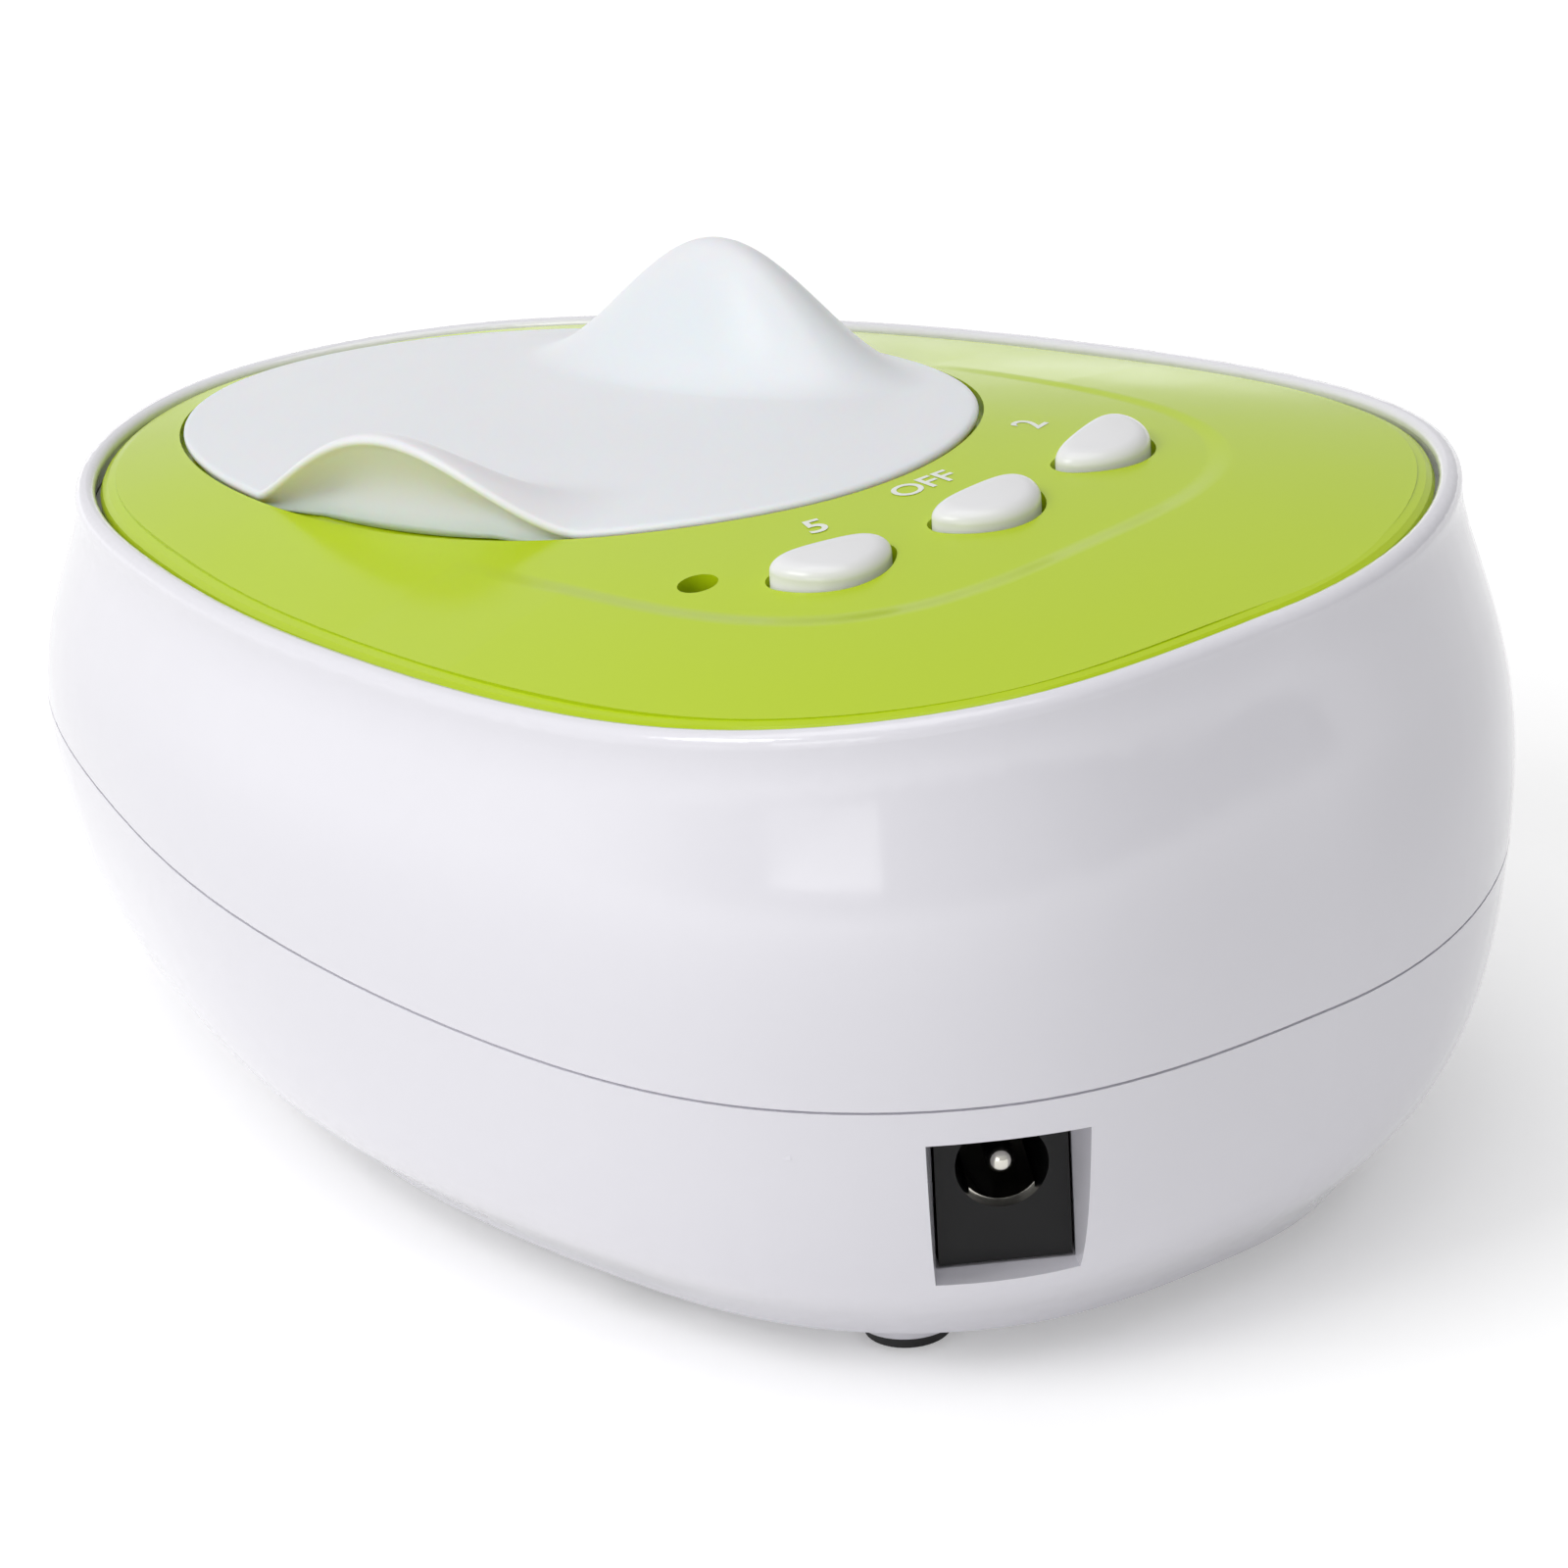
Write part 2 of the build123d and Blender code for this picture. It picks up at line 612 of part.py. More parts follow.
def button_prism(x, y, turn, grow, low, high):
    """Prism of a cap outline, an oval that is fuller on the side away from the lid."""
    half = grown(BUTTON_HALF, grow)
    points = []
    for i in range(BUTTON_POINTS):
        a = 2 * pi * i / BUTTON_POINTS
        points.append((half[0] * (cos(a) + BUTTON_LEAN * cos(2 * a)), half[1] * sin(a)))
    return Pos(x, y, 0) * Rot(0, 0, turn) * prism(points, low, high)


def make_panel(panel_top):
    """Crowned panel with its collar round the mouth, the lid's seat, the posts and the openings."""
    inset = SIDE_INSET[-1][1] + RIM_WIDTH + PANEL_GAP
    sections = [case_section(1.0, inset + PANEL_EDGE * i, PANEL_EDGE * z) for i, z in PANEL_EDGE_PROFILE]
    panel = Solid.make_loft(sections, True)
    panel -= panel_top
    panel = panel & (Pos(0, 0, -PANEL_THICK) * panel_top)
    collar = tilted_ring(grown(MOUTH_HALF, COLLAR_WIDTH), MOUTH_HALF, COLLAR_DROP, -COLLAR_REACH)
    panel += collar - (Pos(0, 0, -PANEL_THICK / 2) * panel_top)
    panel -= oval_prism(MOUTH_HALF, PRISM_LOW, PRISM_HIGH)
    panel -= lid_prism(LID_GAP) & (Pos(0, 0, -LID_SEAT) * panel_top)
    for x, y in BUTTON_POSTS:
        post = rod(x, y, BUTTON_BOARD_TOP, BUTTON_BOARD_TOP + POST_REACH, POST_R)
        panel += post - (Pos(0, 0, -PANEL_THICK / 2) * panel_top)
        hole_top = BUTTON_BOARD_TOP + SMALL_LONG - BOARD_THICK
        panel -= rod(x, y, BUTTON_BOARD_TOP - PAST, hole_top, SMALL_SCREW_R)
    for _, x, y, turn in button_places():
        panel -= button_prism(x, y, turn, BUTTON_GAP, PRISM_LOW, PRISM_HIGH)
    panel -= rod(LED_AT[0], LED_AT[1], PRISM_LOW, PRISM_HIGH, LED_HOLE_R)
    return panel


def tab_box(more_x, more_y, low, high):
    """Upright block round the place of the holder's tab."""
    x = (BELL_CENTRE[0] - more_x, BELL_CENTRE[0] + more_x)
    return box(x, (TAB_Y - more_y, TAB_Y + more_y), (low, high))


def make_lid():
    """Shell with the grip and the lip, the skirt, the wall under the lip and the socket of the tab."""
    top = above(lid_z, *LID_FIELD)
    bottom = above(lid_z, *LID_FIELD, thick=LID_THICK)
    lid = (lid_prism(0.0) & bottom) - top
    inner_top = Pos(0, 0, -LID_ROOT) * top
    skirt_half = grown(MOUTH_HALF, -LID_SKIRT_GAP)
    skirt_drop = COLLAR_DROP + GASKET_THICK
    ring = tilted_ring(skirt_half, grown(skirt_half, -LID_SKIRT_THICK), skirt_drop, -SKIRT_REACH)
    lid += ring - inner_top
    wall = lid_prism(-LIP_WALL_INSET) - lid_prism(-LIP_WALL_INSET - LIP_WALL_THICK)
    wall_x = (LIP_PEAK_X - LIP_REAR[0] + LIP_WALL_SHORT, LIP_PEAK_X + LIP_FORE[0] - LIP_WALL_SHORT)
    wall &= box(wall_x, LIP_WALL_Y, (PRISM_LOW, PRISM_HIGH))
    level_under = above(lambda x, y: panel_z(x, y) + LID_STAND - LID_THICK, *LID_FIELD[:2], LID_UNDER_COUNTS)
    lid += (wall & level_under) - inner_top
    lid += tab_box(*SOCKET_HALF, SOCKET_LOW, BLOCK_TALL) - inner_top
    lid -= tab_box(TAB_WIDE / 2, TAB_THICK / 2, PRISM_LOW, TAB_TOP)
    return lid


def make_tank():
    """Drawn tank: a level floor, sides that flare up to the tilted mouth, and a flange."""
    flange_top = COLLAR_DROP + GASKET_THICK
    low_oval = flat_oval(TANK_BOTTOM_HALF, TANK_FLOOR_Z - TANK_WALL)
    outer = Solid.make_loft([low_oval, tilted_oval(TANK_TOP_HALF, flange_top)])
    bottom = min(outer.faces(), key=lambda f: f.center().Z)
    outer = outer.fillet(TANK_CORNER, bottom.outer_wire().edges())
    flange_half = grown(TANK_TOP_HALF, FLANGE_WIDTH)
    flange_rims = [tilted_oval(flange_half, flange_top + TANK_WALL), tilted_oval(flange_half, flange_top)]
    flange = Solid.make_loft(flange_rims, True)
    top_inner = grown(TANK_TOP_HALF, -TANK_WALL)
    floor_oval = flat_oval(grown(TANK_BOTTOM_HALF, -TANK_WALL), TANK_FLOOR_Z)
    inner = Solid.make_loft([floor_oval, tilted_oval(top_inner, flange_top)])
    bottom = min(inner.faces(), key=lambda f: f.center().Z)
    inner = inner.fillet(TANK_CORNER - TANK_WALL, bottom.outer_wire().edges())
    plug = Solid.make_loft([tilted_oval(top_inner, flange_top + rise) for rise in TANK_BRIM], True)
    return outer + flange - inner - plug


def make_gasket():
    """Flat rubber ring between the panel's collar and the flange."""
    low_half = grown(MOUTH_HALF, GASKET_INSET)
    return tilted_ring(grown(low_half, GASKET_WIDTH), low_half, COLLAR_DROP + GASKET_THICK, COLLAR_DROP)


def cross_rod(x, y, z, r, length):
    """Rod along Y."""
    return Pos(x, y, z) * Rot(90, 0, 0) * Cylinder(r, length)


def make_holder():
    """Two slotted baskets, the bridge between them, the hinge lugs and the upright tab."""
    rim = BASKET_FLOOR_Z + BASKET_DEEP
    root = rim - BRIDGE_THICK
    middle = TANK_CENTRE_X
    holder = box((middle - BRIDGE_HALF[0], middle + BRIDGE_HALF[0]), BRIDGE_Y, (root, rim))
    arm_x = (middle - BRIDGE_HALF[1], BELL_CENTRE[0] + TAB_WIDE / 2)
    holder += box(arm_x, (ARM_Y, TAB_Y + TAB_THICK / 2), (root, rim))
    holder += tab_box(TAB_WIDE / 2, TAB_THICK / 2, root, TAB_TOP)
    centres = [middle - BASKET_PITCH / 2, middle + BASKET_PITCH / 2]
    hinges = [middle - HINGE_APART / 2, middle + HINGE_APART / 2]
    for x in centres:
        holder += rod(x, 0, BASKET_FLOOR_Z, rim, BASKET_R)
    lug_long = HINGE_LUG_Y[1] - HINGE_LUG_Y[0]
    for x in hinges:
        for low in (-HINGE_LUG_Y[1], HINGE_LUG_Y[0]):
            holder += box((x - HINGE_R, x + HINGE_R), (low, low + lug_long), (root, HINGE_Z))
            holder += cross_rod(x, low + lug_long / 2, HINGE_Z, HINGE_R, lug_long)
    for x in hinges:
        holder -= cross_rod(x, 0, HINGE_Z, HINGE_R + HINGE_LUG_GAP, HINGE_SLOT)
        holder -= cross_rod(x, 0, HINGE_Z, HINGE_PIN_R, PIN_LONG + 2 * OVERLAP)
    for x in centres:
        holder -= rod(x, 0, BASKET_FLOOR_Z + BASKET_WALL, rim + PAST, BASKET_R - BASKET_WALL)
        for slot in disc_slots(x, BASKET_FLOOR_Z - PAST, BASKET_FLOOR_Z + BASKET_WALL + PAST):
            holder -= slot
        outward = 180.0 if x < middle else 0.0
        reach = (BASKET_R - WINDOW_IN, BASKET_R + PAST)
        height = (BASKET_FLOOR_Z + WINDOW_FROM_EDGES[0], rim - WINDOW_FROM_EDGES[1])
        for turn in WINDOW_TURNS:
            window = box(reach, (-SLOT_WIDE / 2, SLOT_WIDE / 2), height)
            holder -= Pos(x, 0, 0) * Rot(0, 0, outward + turn) * window
    return holder


def disc_slots(x, low, high):
    """Slots side by side across a disc, each as long as the disc allows."""
    slots = []
    for i in range(-SLOT_COUNT, SLOT_COUNT + 1):
        y = SLOT_STEP * i
        half = sqrt((BASKET_R - SLOT_EDGE) ** 2 - y**2)
        slots.append(box((x - half, x + half), (y - SLOT_WIDE / 2, y + SLOT_WIDE / 2), (low, high)))
    return slots


def make_cover(side):
    """Slotted disc with a hinge knuckle; side is -1 for the narrow end, 1 for the wide end."""
    low = BASKET_FLOOR_Z + BASKET_DEEP + COVER_GAP
    above_cover = low + COVER_THICK + PAST
    centre = TANK_CENTRE_X + side * BASKET_PITCH / 2
    hinge_x = TANK_CENTRE_X + side * HINGE_APART / 2
    keep_from = hinge_x + side * (HINGE_R + COVER_SETBACK)
    cover = rod(centre, 0, low, low + COVER_THICK, BASKET_R)
    strip_x = tuple(sorted((TANK_CENTRE_X, keep_from)))
    cover -= box(strip_x, (-BASKET_R - PAST, BASKET_R + PAST), (low - PAST, above_cover))
    tongue_x = tuple(sorted((hinge_x, keep_from + side * OVERLAP)))
    cover += box(tongue_x, (-KNUCKLE_LONG / 2, KNUCKLE_LONG / 2), (low, low + COVER_THICK))
    cover += cross_rod(hinge_x, 0, HINGE_Z, HINGE_R, KNUCKLE_LONG)
    cover -= cross_rod(hinge_x, 0, HINGE_Z, HINGE_PIN_R + HINGE_FIT, PIN_LONG)
    for slot in disc_slots(centre, low - PAST, above_cover):
        cover -= slot
    return cover


def make_transducer_leads():
    """Two round leads from the transducer down to the main board."""
    leads = None
    start = TANK_FLOOR_Z - TANK_WALL - TRANSDUCER_THICK
    for y in LEAD_Y:
        stops = [Vector(x, y, start - drop) for x, drop in LEAD_DROPS]
        stops += [Vector(x, y, BOARD_TOP + rise) for x, rise in LEAD_RISES]
        path = Edge.make_spline(stops, tangents=[Vector(0, 0, -1), Vector(0, 0, -1)])
        lead = sweep(Plane(origin=path @ 0, z_dir=path % 0) * Circle(LEAD_R), path=path)
        leads = lead if leads is None else leads + lead
    return leads


def make_link_cable():
    """Flat four-way cable from the main board up to the button board."""
    low, high = BOARD_TOP + LINK_TALL, BUTTON_BOARD_TOP - BOARD_THICK - LINK_TALL
    bend = Vector(LINK_LOW[0] + LINK_BEND_OUT, LINK_LOW[1], low + (high - low) * LINK_BEND)
    stops = [Vector(*LINK_LOW, low), bend, Vector(*LINK_HIGH, high)]
    path = Edge.make_spline(stops, tangents=[Vector(0, 0, 1), Vector(0, 0, 1)])
    start = Plane(origin=path @ 0, x_dir=(1, 0, 0), z_dir=path % 0)
    return sweep(start * Rectangle(LINK_CABLE[0], LINK_CABLE[1]), path=path)


def make_transformer():
    """Steel core round a wound bobbin, whose pins go through the board."""
    x, y = TRANSFORMER_AT
    wide, deep, tall = TRANSFORMER_SIZE
    leg = deep * CORE_LEG_SHARE
    side = wide * CORE_SIDE_SHARE
    low = BOARD_TOP + TRANSFORMER_UP
    core = box((x - wide / 2, x + wide / 2), (y - leg, y + leg), (low, low + tall))
    for sign in (-1, 1):
        window = sorted((x + sign * side, x + sign * (wide / 2 - side)))
        core -= box(tuple(window), (y - deep, y + deep), (low + side, low + tall - side))
    half = wide / 2 - side - BOBBIN_GAP[0]
    height = (low + side + BOBBIN_GAP[1], low + tall - side - BOBBIN_GAP[1])
    bobbin = box((x - half, x + half), (y - deep / 2, y + deep / 2), height)
    bobbin = bobbin.fillet(BOBBIN_ROUND, bobbin.edges().filter_by(Axis.Z))
    bobbin -= box((x - side, x + side), (y - leg, y + leg), (low, low + tall))
    pin_z = (LEG_END_Z, low + side + BOBBIN_PIN_RISE)
    pin_y = deep / 2 - BOBBIN_PIN_IN
    pins = [rod(x + dx, y + dy, *pin_z, BOBBIN_PIN_R) for dx in BOBBIN_PIN_X for dy in (-pin_y, pin_y)]
    return core, bobbin.fuse(*pins), pins


def make_power_transistor():
    """Plastic body on a metal tab, three legs down to the board."""
    x, y = TRANSISTOR_AT
    half_x, half_y = TRANSISTOR_HALF
    low = BOARD_TOP + TRANSISTOR_UP
    top = low + TRANSISTOR_TALL
    body = box((x - half_x, x + half_x), (y - half_y, y + half_y), (low, top))
    tab_y = (y + TRANSISTOR_TAB[0], y + half_y)
    tab = box((x - half_x, x + half_x), tab_y, (top, top + TRANSISTOR_TAB[1]))
    tab -= cross_rod(x, y + half_y, top + TRANSISTOR_HOLE_UP, TRANSISTOR_HOLE_R, 2 * half_y)
    legs = []
    for dx in TRANSISTOR_LEGS:
        leg_x = (x + dx - TRANSISTOR_LEG_HALF[0], x + dx + TRANSISTOR_LEG_HALF[0])
        legs.append(box(leg_x, (y - TRANSISTOR_LEG_HALF[1], y + TRANSISTOR_LEG_HALF[1]), (LEG_END_Z, low)))
    return body.fuse(tab, *legs), legs


def make_heat_sink():
    """Plate behind the power transistor, with fins."""
    x, y = TRANSISTOR_AT
    back = y + TRANSISTOR_HALF[1]
    height = (BOARD_TOP, BOARD_TOP + SINK_TALL)
    plate = box((x - SINK_HALF, x + SINK_HALF), (back, back + SINK_THICK), height)
    fins = []
    for dx in SINK_FINS:
        fin_x = (x + dx - SINK_FIN_HALF, x + dx + SINK_FIN_HALF)
        fins.append(box(fin_x, (back + SINK_FIN_Y[0], back + SINK_FIN_Y[1]), height))
    return plate.fuse(*fins)


def make_main_board(pins):
    """Main board with its screw holes and the holes for the pins and legs."""
    board = box(BOARD_X, (-BOARD_HALF_Y, BOARD_HALF_Y), (BOARD_TOP - BOARD_THICK, BOARD_TOP))
    board = board.fillet(BOARD_CORNER, board.edges().filter_by(Axis.Z))
    holes = [rod(x, y, 0, BOARD_TOP + PAST, SMALL_SCREW_R + BOARD_HOLE_GAP) for x, y in BOARD_POSTS]
    return board.cut(*holes, *pins)


def make_button_board():
    """Board that carries the three switches and the indicator."""
    low = BUTTON_BOARD_TOP - BOARD_THICK
    board = box(BUTTON_BOARD_X, (-BUTTON_BOARD_HALF_Y, BUTTON_BOARD_HALF_Y), (low, BUTTON_BOARD_TOP))
    board = board.fillet(BOARD_CORNER, board.edges().filter_by(Axis.Z))
    return board.cut(*[rod(x, y, 0, TALL, SMALL_SCREW_R + BOARD_HOLE_GAP) for x, y in BUTTON_POSTS])


def make_cap(x, y, turn):
    """Push button with a rounded top and a flange that keeps it under the panel."""
    top = panel_z(x, y) + BUTTON_STAND
    cap = button_prism(x, y, turn, 0.0, PLUNGER_TOP, top)
    cap = cap.fillet(BUTTON_ROUND, cap.faces().sort_by(Axis.Z)[-1].outer_wire().edges())
    return cap + button_prism(x, y, turn, BUTTON_FLANGE, PLUNGER_TOP, PLUNGER_TOP + BUTTON_FLANGE_THICK)


def screw(x, y, low, high, shank_r, head_r, head, head_low):
    """Pan-head screw with a cross recess; head_low puts the head at the bottom."""
    long_arm, thin_arm, depth = CROSS_SHARE[0] * head_r, CROSS_SHARE[1] * head_r, CROSS_SHARE[2] * head
    if head_low:
        head_rod = rod(x, y, low - head, low, head_r)
        cross_z = (low - head - PAST, low - depth)
    else:
        head_rod = rod(x, y, high, high + head, head_r)
        cross_z = (high + depth, high + head + PAST)
    body = head_rod + rod(x, y, low, high, shank_r)
    for dx, dy in ((long_arm, thin_arm), (thin_arm, long_arm)):
        body -= box((x - dx, x + dx), (y - dy, y + dy), cross_z)
    return body


def make_jack():
    """Power inlet: housing with a round hole, the pin in its middle and a sprung strip under the pin."""
    hole_z = BOARD_TOP + JACK_HOLE_UP
    along = Rot(0, 90, 0)
    housing = box((-JACK_LONG, 0.0), (-JACK_WIDE / 2, JACK_WIDE / 2), (BOARD_TOP, BOARD_TOP + JACK_TALL))
    housing -= Pos(-JACK_HOLE_DEEP / 2, 0, hole_z) * along * Cylinder(JACK_HOLE_R, JACK_HOLE_DEEP)
    wall = JACK_HOLE_DEEP - JACK_PIN_R
    pin = Pos(-JACK_PIN_R - wall / 2, 0, hole_z) * along * Cylinder(JACK_PIN_R, wall)
    pin += Pos(-JACK_PIN_R, 0, hole_z) * Sphere(JACK_PIN_R)
    root = Pos(-JACK_HOLE_DEEP - JACK_ROOT / 2, 0, hole_z) * along * Cylinder(JACK_ROOT_R, JACK_ROOT)
    pin += root
    housing -= root
    ring_at = Pos(-CONTACT_MIDDLE, 0, hole_z) * along
    contact = ring_at * Cylinder(JACK_HOLE_R, CONTACT_LONG)
    contact -= ring_at * Cylinder(JACK_HOLE_R - CONTACT_THICK, CONTACT_LONG + PAST)
    strip_z = (hole_z - CONTACT_DROP[0], hole_z - CONTACT_DROP[1])
    contact = contact & box((-JACK_LONG, 0.0), (-CONTACT_HALF, CONTACT_HALF), strip_z)
    return at_jack(housing), at_jack(pin), at_jack(contact)


os.makedirs("parts", exist_ok=True)
OUTER = case_loft(lambda s: 0.0, SHARES)
CENTRE_X = (OUTER.bounding_box().min.X + OUTER.bounding_box().max.X) / 2
print(f"middle of the case {CENTRE_X:.3f}")
HOLLOW = case_loft(wall_more, INNER_SHARES) + rim_prism(SIDE_INSET[-1][1] + RIM_WIDTH, *RIM_OPENING)
PANEL_TOP = above(panel_z, *PANEL_FIELD)

save("upper_shell", round_rim(make_upper_shell(OUTER, HOLLOW)))
save("lower_shell", make_lower_shell(OUTER, HOLLOW))
save("top_panel", make_panel(PANEL_TOP))
save("lid", make_lid())
save("tank", make_tank())
save("tank_gasket", make_gasket())

disc_top = TANK_FLOOR_Z - TANK_WALL
save("transducer", rod(TANK_CENTRE_X, 0, disc_top - TRANSDUCER_THICK, disc_top, TRANSDUCER_R))
save("lens_holder", make_holder())
save("basket_cover_left", make_cover(-1))
save("basket_cover_right", make_cover(1))
hinges = (TANK_CENTRE_X - HINGE_APART / 2, TANK_CENTRE_X + HINGE_APART / 2)
pins = [cross_rod(x, 0, HINGE_Z, HINGE_PIN_R, PIN_LONG) for x in hinges]
save("hinge_pins", Compound(children=pins))

for name, x, y, turn in button_places():
    save(f"button_{name}", make_cap(x, y, turn))
    save(f"plunger_{name}", rod(x, y, BUTTON_BOARD_TOP + PLUNGER_LOW, PLUNGER_TOP, PLUNGER_R))
switches = []
for _, x, y, turn in button_places():
    half = SWITCH_SIZE / 2
    body = box((x - half, x + half), (y - half, y + half), (BUTTON_BOARD_TOP, BUTTON_BOARD_TOP + SWITCH_TALL))
    switches.append(body - rod(x, y, BUTTON_BOARD_TOP + PLUNGER_WELL, TALL, PLUNGER_R + PLUNGER_FIT))
save("switch_bodies", Compound(children=switches))
save("button_board", make_button_board())
led_z = BUTTON_BOARD_TOP + LED_TALL - LED_R
led = rod(*LED_AT, BUTTON_BOARD_TOP, led_z, LED_R)
save("indicator_led", led + Pos(*LED_AT, led_z) * Sphere(LED_R))
low = BUTTON_BOARD_TOP - BOARD_THICK
small = (SMALL_SCREW_R, SMALL_HEAD_R, SMALL_HEAD)
screws = [screw(x, y, low, low + SMALL_LONG, *small, True) for x, y in BUTTON_POSTS]
save("button_board_screws", Compound(children=screws))

core, winding, transformer_pins = make_transformer()
transistor, legs = make_power_transistor()
save("main_board", make_main_board(transformer_pins + legs))
save("transformer_core", core)
save("transformer_winding", winding)
save("power_transistor", transistor)
save("heat_sink", make_heat_sink())
cans = []
for x, y, r, tall in CAPACITORS:
    can = rod(x, y, BOARD_TOP, BOARD_TOP + tall, r)
    cans.append(can.fillet(CAPACITOR_ROUND, can.faces().sort_by(Axis.Z)[-1].edges()))
save("capacitors", Compound(children=cans))
x, y = CHIP_AT
half_x, half_y = CHIP_HALF
chip_z = (BOARD_TOP, BOARD_TOP + CHIP_TALL)
save("control_chip", box((x - half_x, x + half_x), (y - half_y, y + half_y), chip_z))
screws = [screw(x, y, BOARD_TOP - SMALL_LONG, BOARD_TOP, *small, False) for x, y in BOARD_POSTS]
save("board_screws", Compound(children=screws))
save("link_cable", make_link_cable())
ends = []
for (x, y), bottom in ((LINK_LOW, BOARD_TOP), (LINK_HIGH, low - LINK_TALL)):
    end_x = (x - LINK_HALF[0], x + LINK_HALF[0])
    ends.append(box(end_x, (y - LINK_HALF[1], y + LINK_HALF[1]), (bottom, bottom + LINK_TALL)))
save("link_connectors", Compound(children=ends))
save("transducer_leads", make_transducer_leads())

housing, pin, contact = make_jack()
save("jack_housing", housing)
save("jack_pin", pin)
save("jack_contact", contact)
save("rubber_feet", Compound(children=[rod(x, y, 0.0, FOOT_THICK, FOOT_R) for x, y in FEET]))
large = (SCREW_R, SCREW_HEAD_R, SCREW_HEAD)
screws = [screw(x, y, SCREW_HEAD_TOP, SCREW_HEAD_TOP + SCREW_LONG, *large, True) for x, y in CASE_SCREWS]
save("case_screws", Compound(children=screws))
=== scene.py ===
import bpy
import math
import numpy as np
from mathutils import Matrix, Vector


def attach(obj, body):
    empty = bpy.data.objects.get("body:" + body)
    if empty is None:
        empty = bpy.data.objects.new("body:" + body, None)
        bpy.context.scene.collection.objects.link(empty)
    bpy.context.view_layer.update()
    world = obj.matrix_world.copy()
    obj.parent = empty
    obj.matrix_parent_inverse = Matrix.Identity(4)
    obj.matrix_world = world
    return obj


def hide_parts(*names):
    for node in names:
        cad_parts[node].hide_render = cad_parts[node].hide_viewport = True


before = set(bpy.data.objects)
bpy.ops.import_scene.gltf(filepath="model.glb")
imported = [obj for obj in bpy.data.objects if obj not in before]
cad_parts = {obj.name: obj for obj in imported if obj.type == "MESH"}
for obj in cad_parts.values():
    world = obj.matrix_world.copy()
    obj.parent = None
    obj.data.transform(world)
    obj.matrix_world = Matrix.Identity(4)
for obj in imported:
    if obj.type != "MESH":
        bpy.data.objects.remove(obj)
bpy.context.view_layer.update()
MM = 0.001
FULL_TURN = 2 * np.pi

# ------------------------------------------------------------------ case form, in millimetres
CASE_MIDDLE_X = -3.389
PLAN_R = 50.0
PLAN_AT_RIM = {2: 0.201, 3: -0.058, 4: 0.009, 5: -0.020}
RIM_HEIGHT = 46.1
RIM_SLOPE = 0.121
PANEL_INSET = 5.4
PANEL_DROP = 0.3
PANEL_CROWN = 4.2
PANEL_THICK = 2.0
CROWN_REACH = 1.3

# lid: a superellipse that is wider toward +X, with a bell-shaped grip and a wave along its front edge
LID_CENTRE = (-20.4, 1.4)
LID_HALF = (35.6, 21.9)
LID_POWER = 2.02
LID_EGG = 0.115
LID_STAND = 0.35
LID_THICK = 1.3
LID_EDGE_R = 0.42
BELL_CENTRE = (-17.0, 14.6)
BELL_HEIGHT = 9.6
BELL_HALF_LENGTH = 19.5
BELL_HALF_WIDTH = 9.0
LIP_PEAK_X = -14.5
LIP_RISE = 6.6
LIP_FOLD = 9.0
LIP_REAR = (15.5, 0.6)
LIP_FORE = (16.5, 0.7)
LIP_FOOT = 1.9
LIP_SCOOP = 1.3
# height of the lip's front from which it is scooped in full
LIP_TALL = 4.0
OUTLINE_POINTS = 320
# first ring, last ring and how many: in shares of the way out over the top, in degrees round the edge, in
# shares of the way down the scooped front, and in shares of the way out over the underside
TOP_RINGS = (0.012, 1.0, 84)
EDGE_RINGS = (67.5, -90.0, 8)
SCOOP_RINGS = (0.08, 1.0, 14)
UNDER_RINGS = (0.96, 0.02, 40)

# skirt under the lid, inside the mouth of the tank, and the socket for the lens holder's tab
TANK_CENTRE_X = -19.3
SKIRT_HALF = (26.6, 16.1)
SKIRT_THICK = 1.2
SKIRT_DROP = 1.1
SKIRT_EDGE = (0.12, 0.2)
SKIRT_ROOT = 0.4
SKIRT_POINTS = 160
MOUTH_CROWN_SHARE = 0.25
MOUTH_SLOPE = 0.17
SOCKET_MIDDLE = (-17.0, 10.6)
SOCKET_HALF = (4.4, 2.1)
SOCKET_LOW = 46.2
SOCKET_POWER = 8
SOCKET_EDGE = 0.3
SOCKET_FOOT_INSET = 1.2
SOCKET_POINTS = 64

# push buttons on an arc round the lid
BUTTON_ARC_CENTRE_X = -20.0
BUTTON_ARC_R = 45.2
BUTTON_TURNS = {"long": -16.5, "off": 0.0, "short": 16.5}
BUTTON_HALF = (2.7, 4.4)
BUTTON_LEAN = 0.2
BUTTON_STAND = 1.5
BUTTON_FOOT = 48.2
BUTTON_FLANGE = (0.9, 1.0)
BUTTON_EDGE_R = 0.85
BUTTON_DOME = 0.22
BUTTON_POINTS = 120
# first ring, last ring and how many: in shares of the way out over the top, and in degrees round its edge
CAP_TOP_RINGS = (0.05, 1.0, 12)
CAP_EDGE_RINGS = (80.0, 0.0, 9)
CAP_BASE_SHARE = 0.5

# lettering: words, place of the middle, turn in degrees and height of the letters
LABELS = {
    "label_5": ("5", (17.2, -8.6), 68.0, 3.4),
    "label_off": ("OFF", (18.0, 0.9), 85.0, 3.0),
    "label_2": ("2", (15.2, 14.0), 106.0, 3.4),
}
STROKE_MORE = 0.045
INK_STAND = 0.03
LETTER_STEPS = 6


def rim_radius(angle):
    """Radius of the case outline at the rim: PLAN_R times one plus a sum of c cos(k angle)."""
    r = np.ones_like(angle)
    for k, c in PLAN_AT_RIM.items():
        r = r + c * np.cos(k * angle)
    return PLAN_R * r


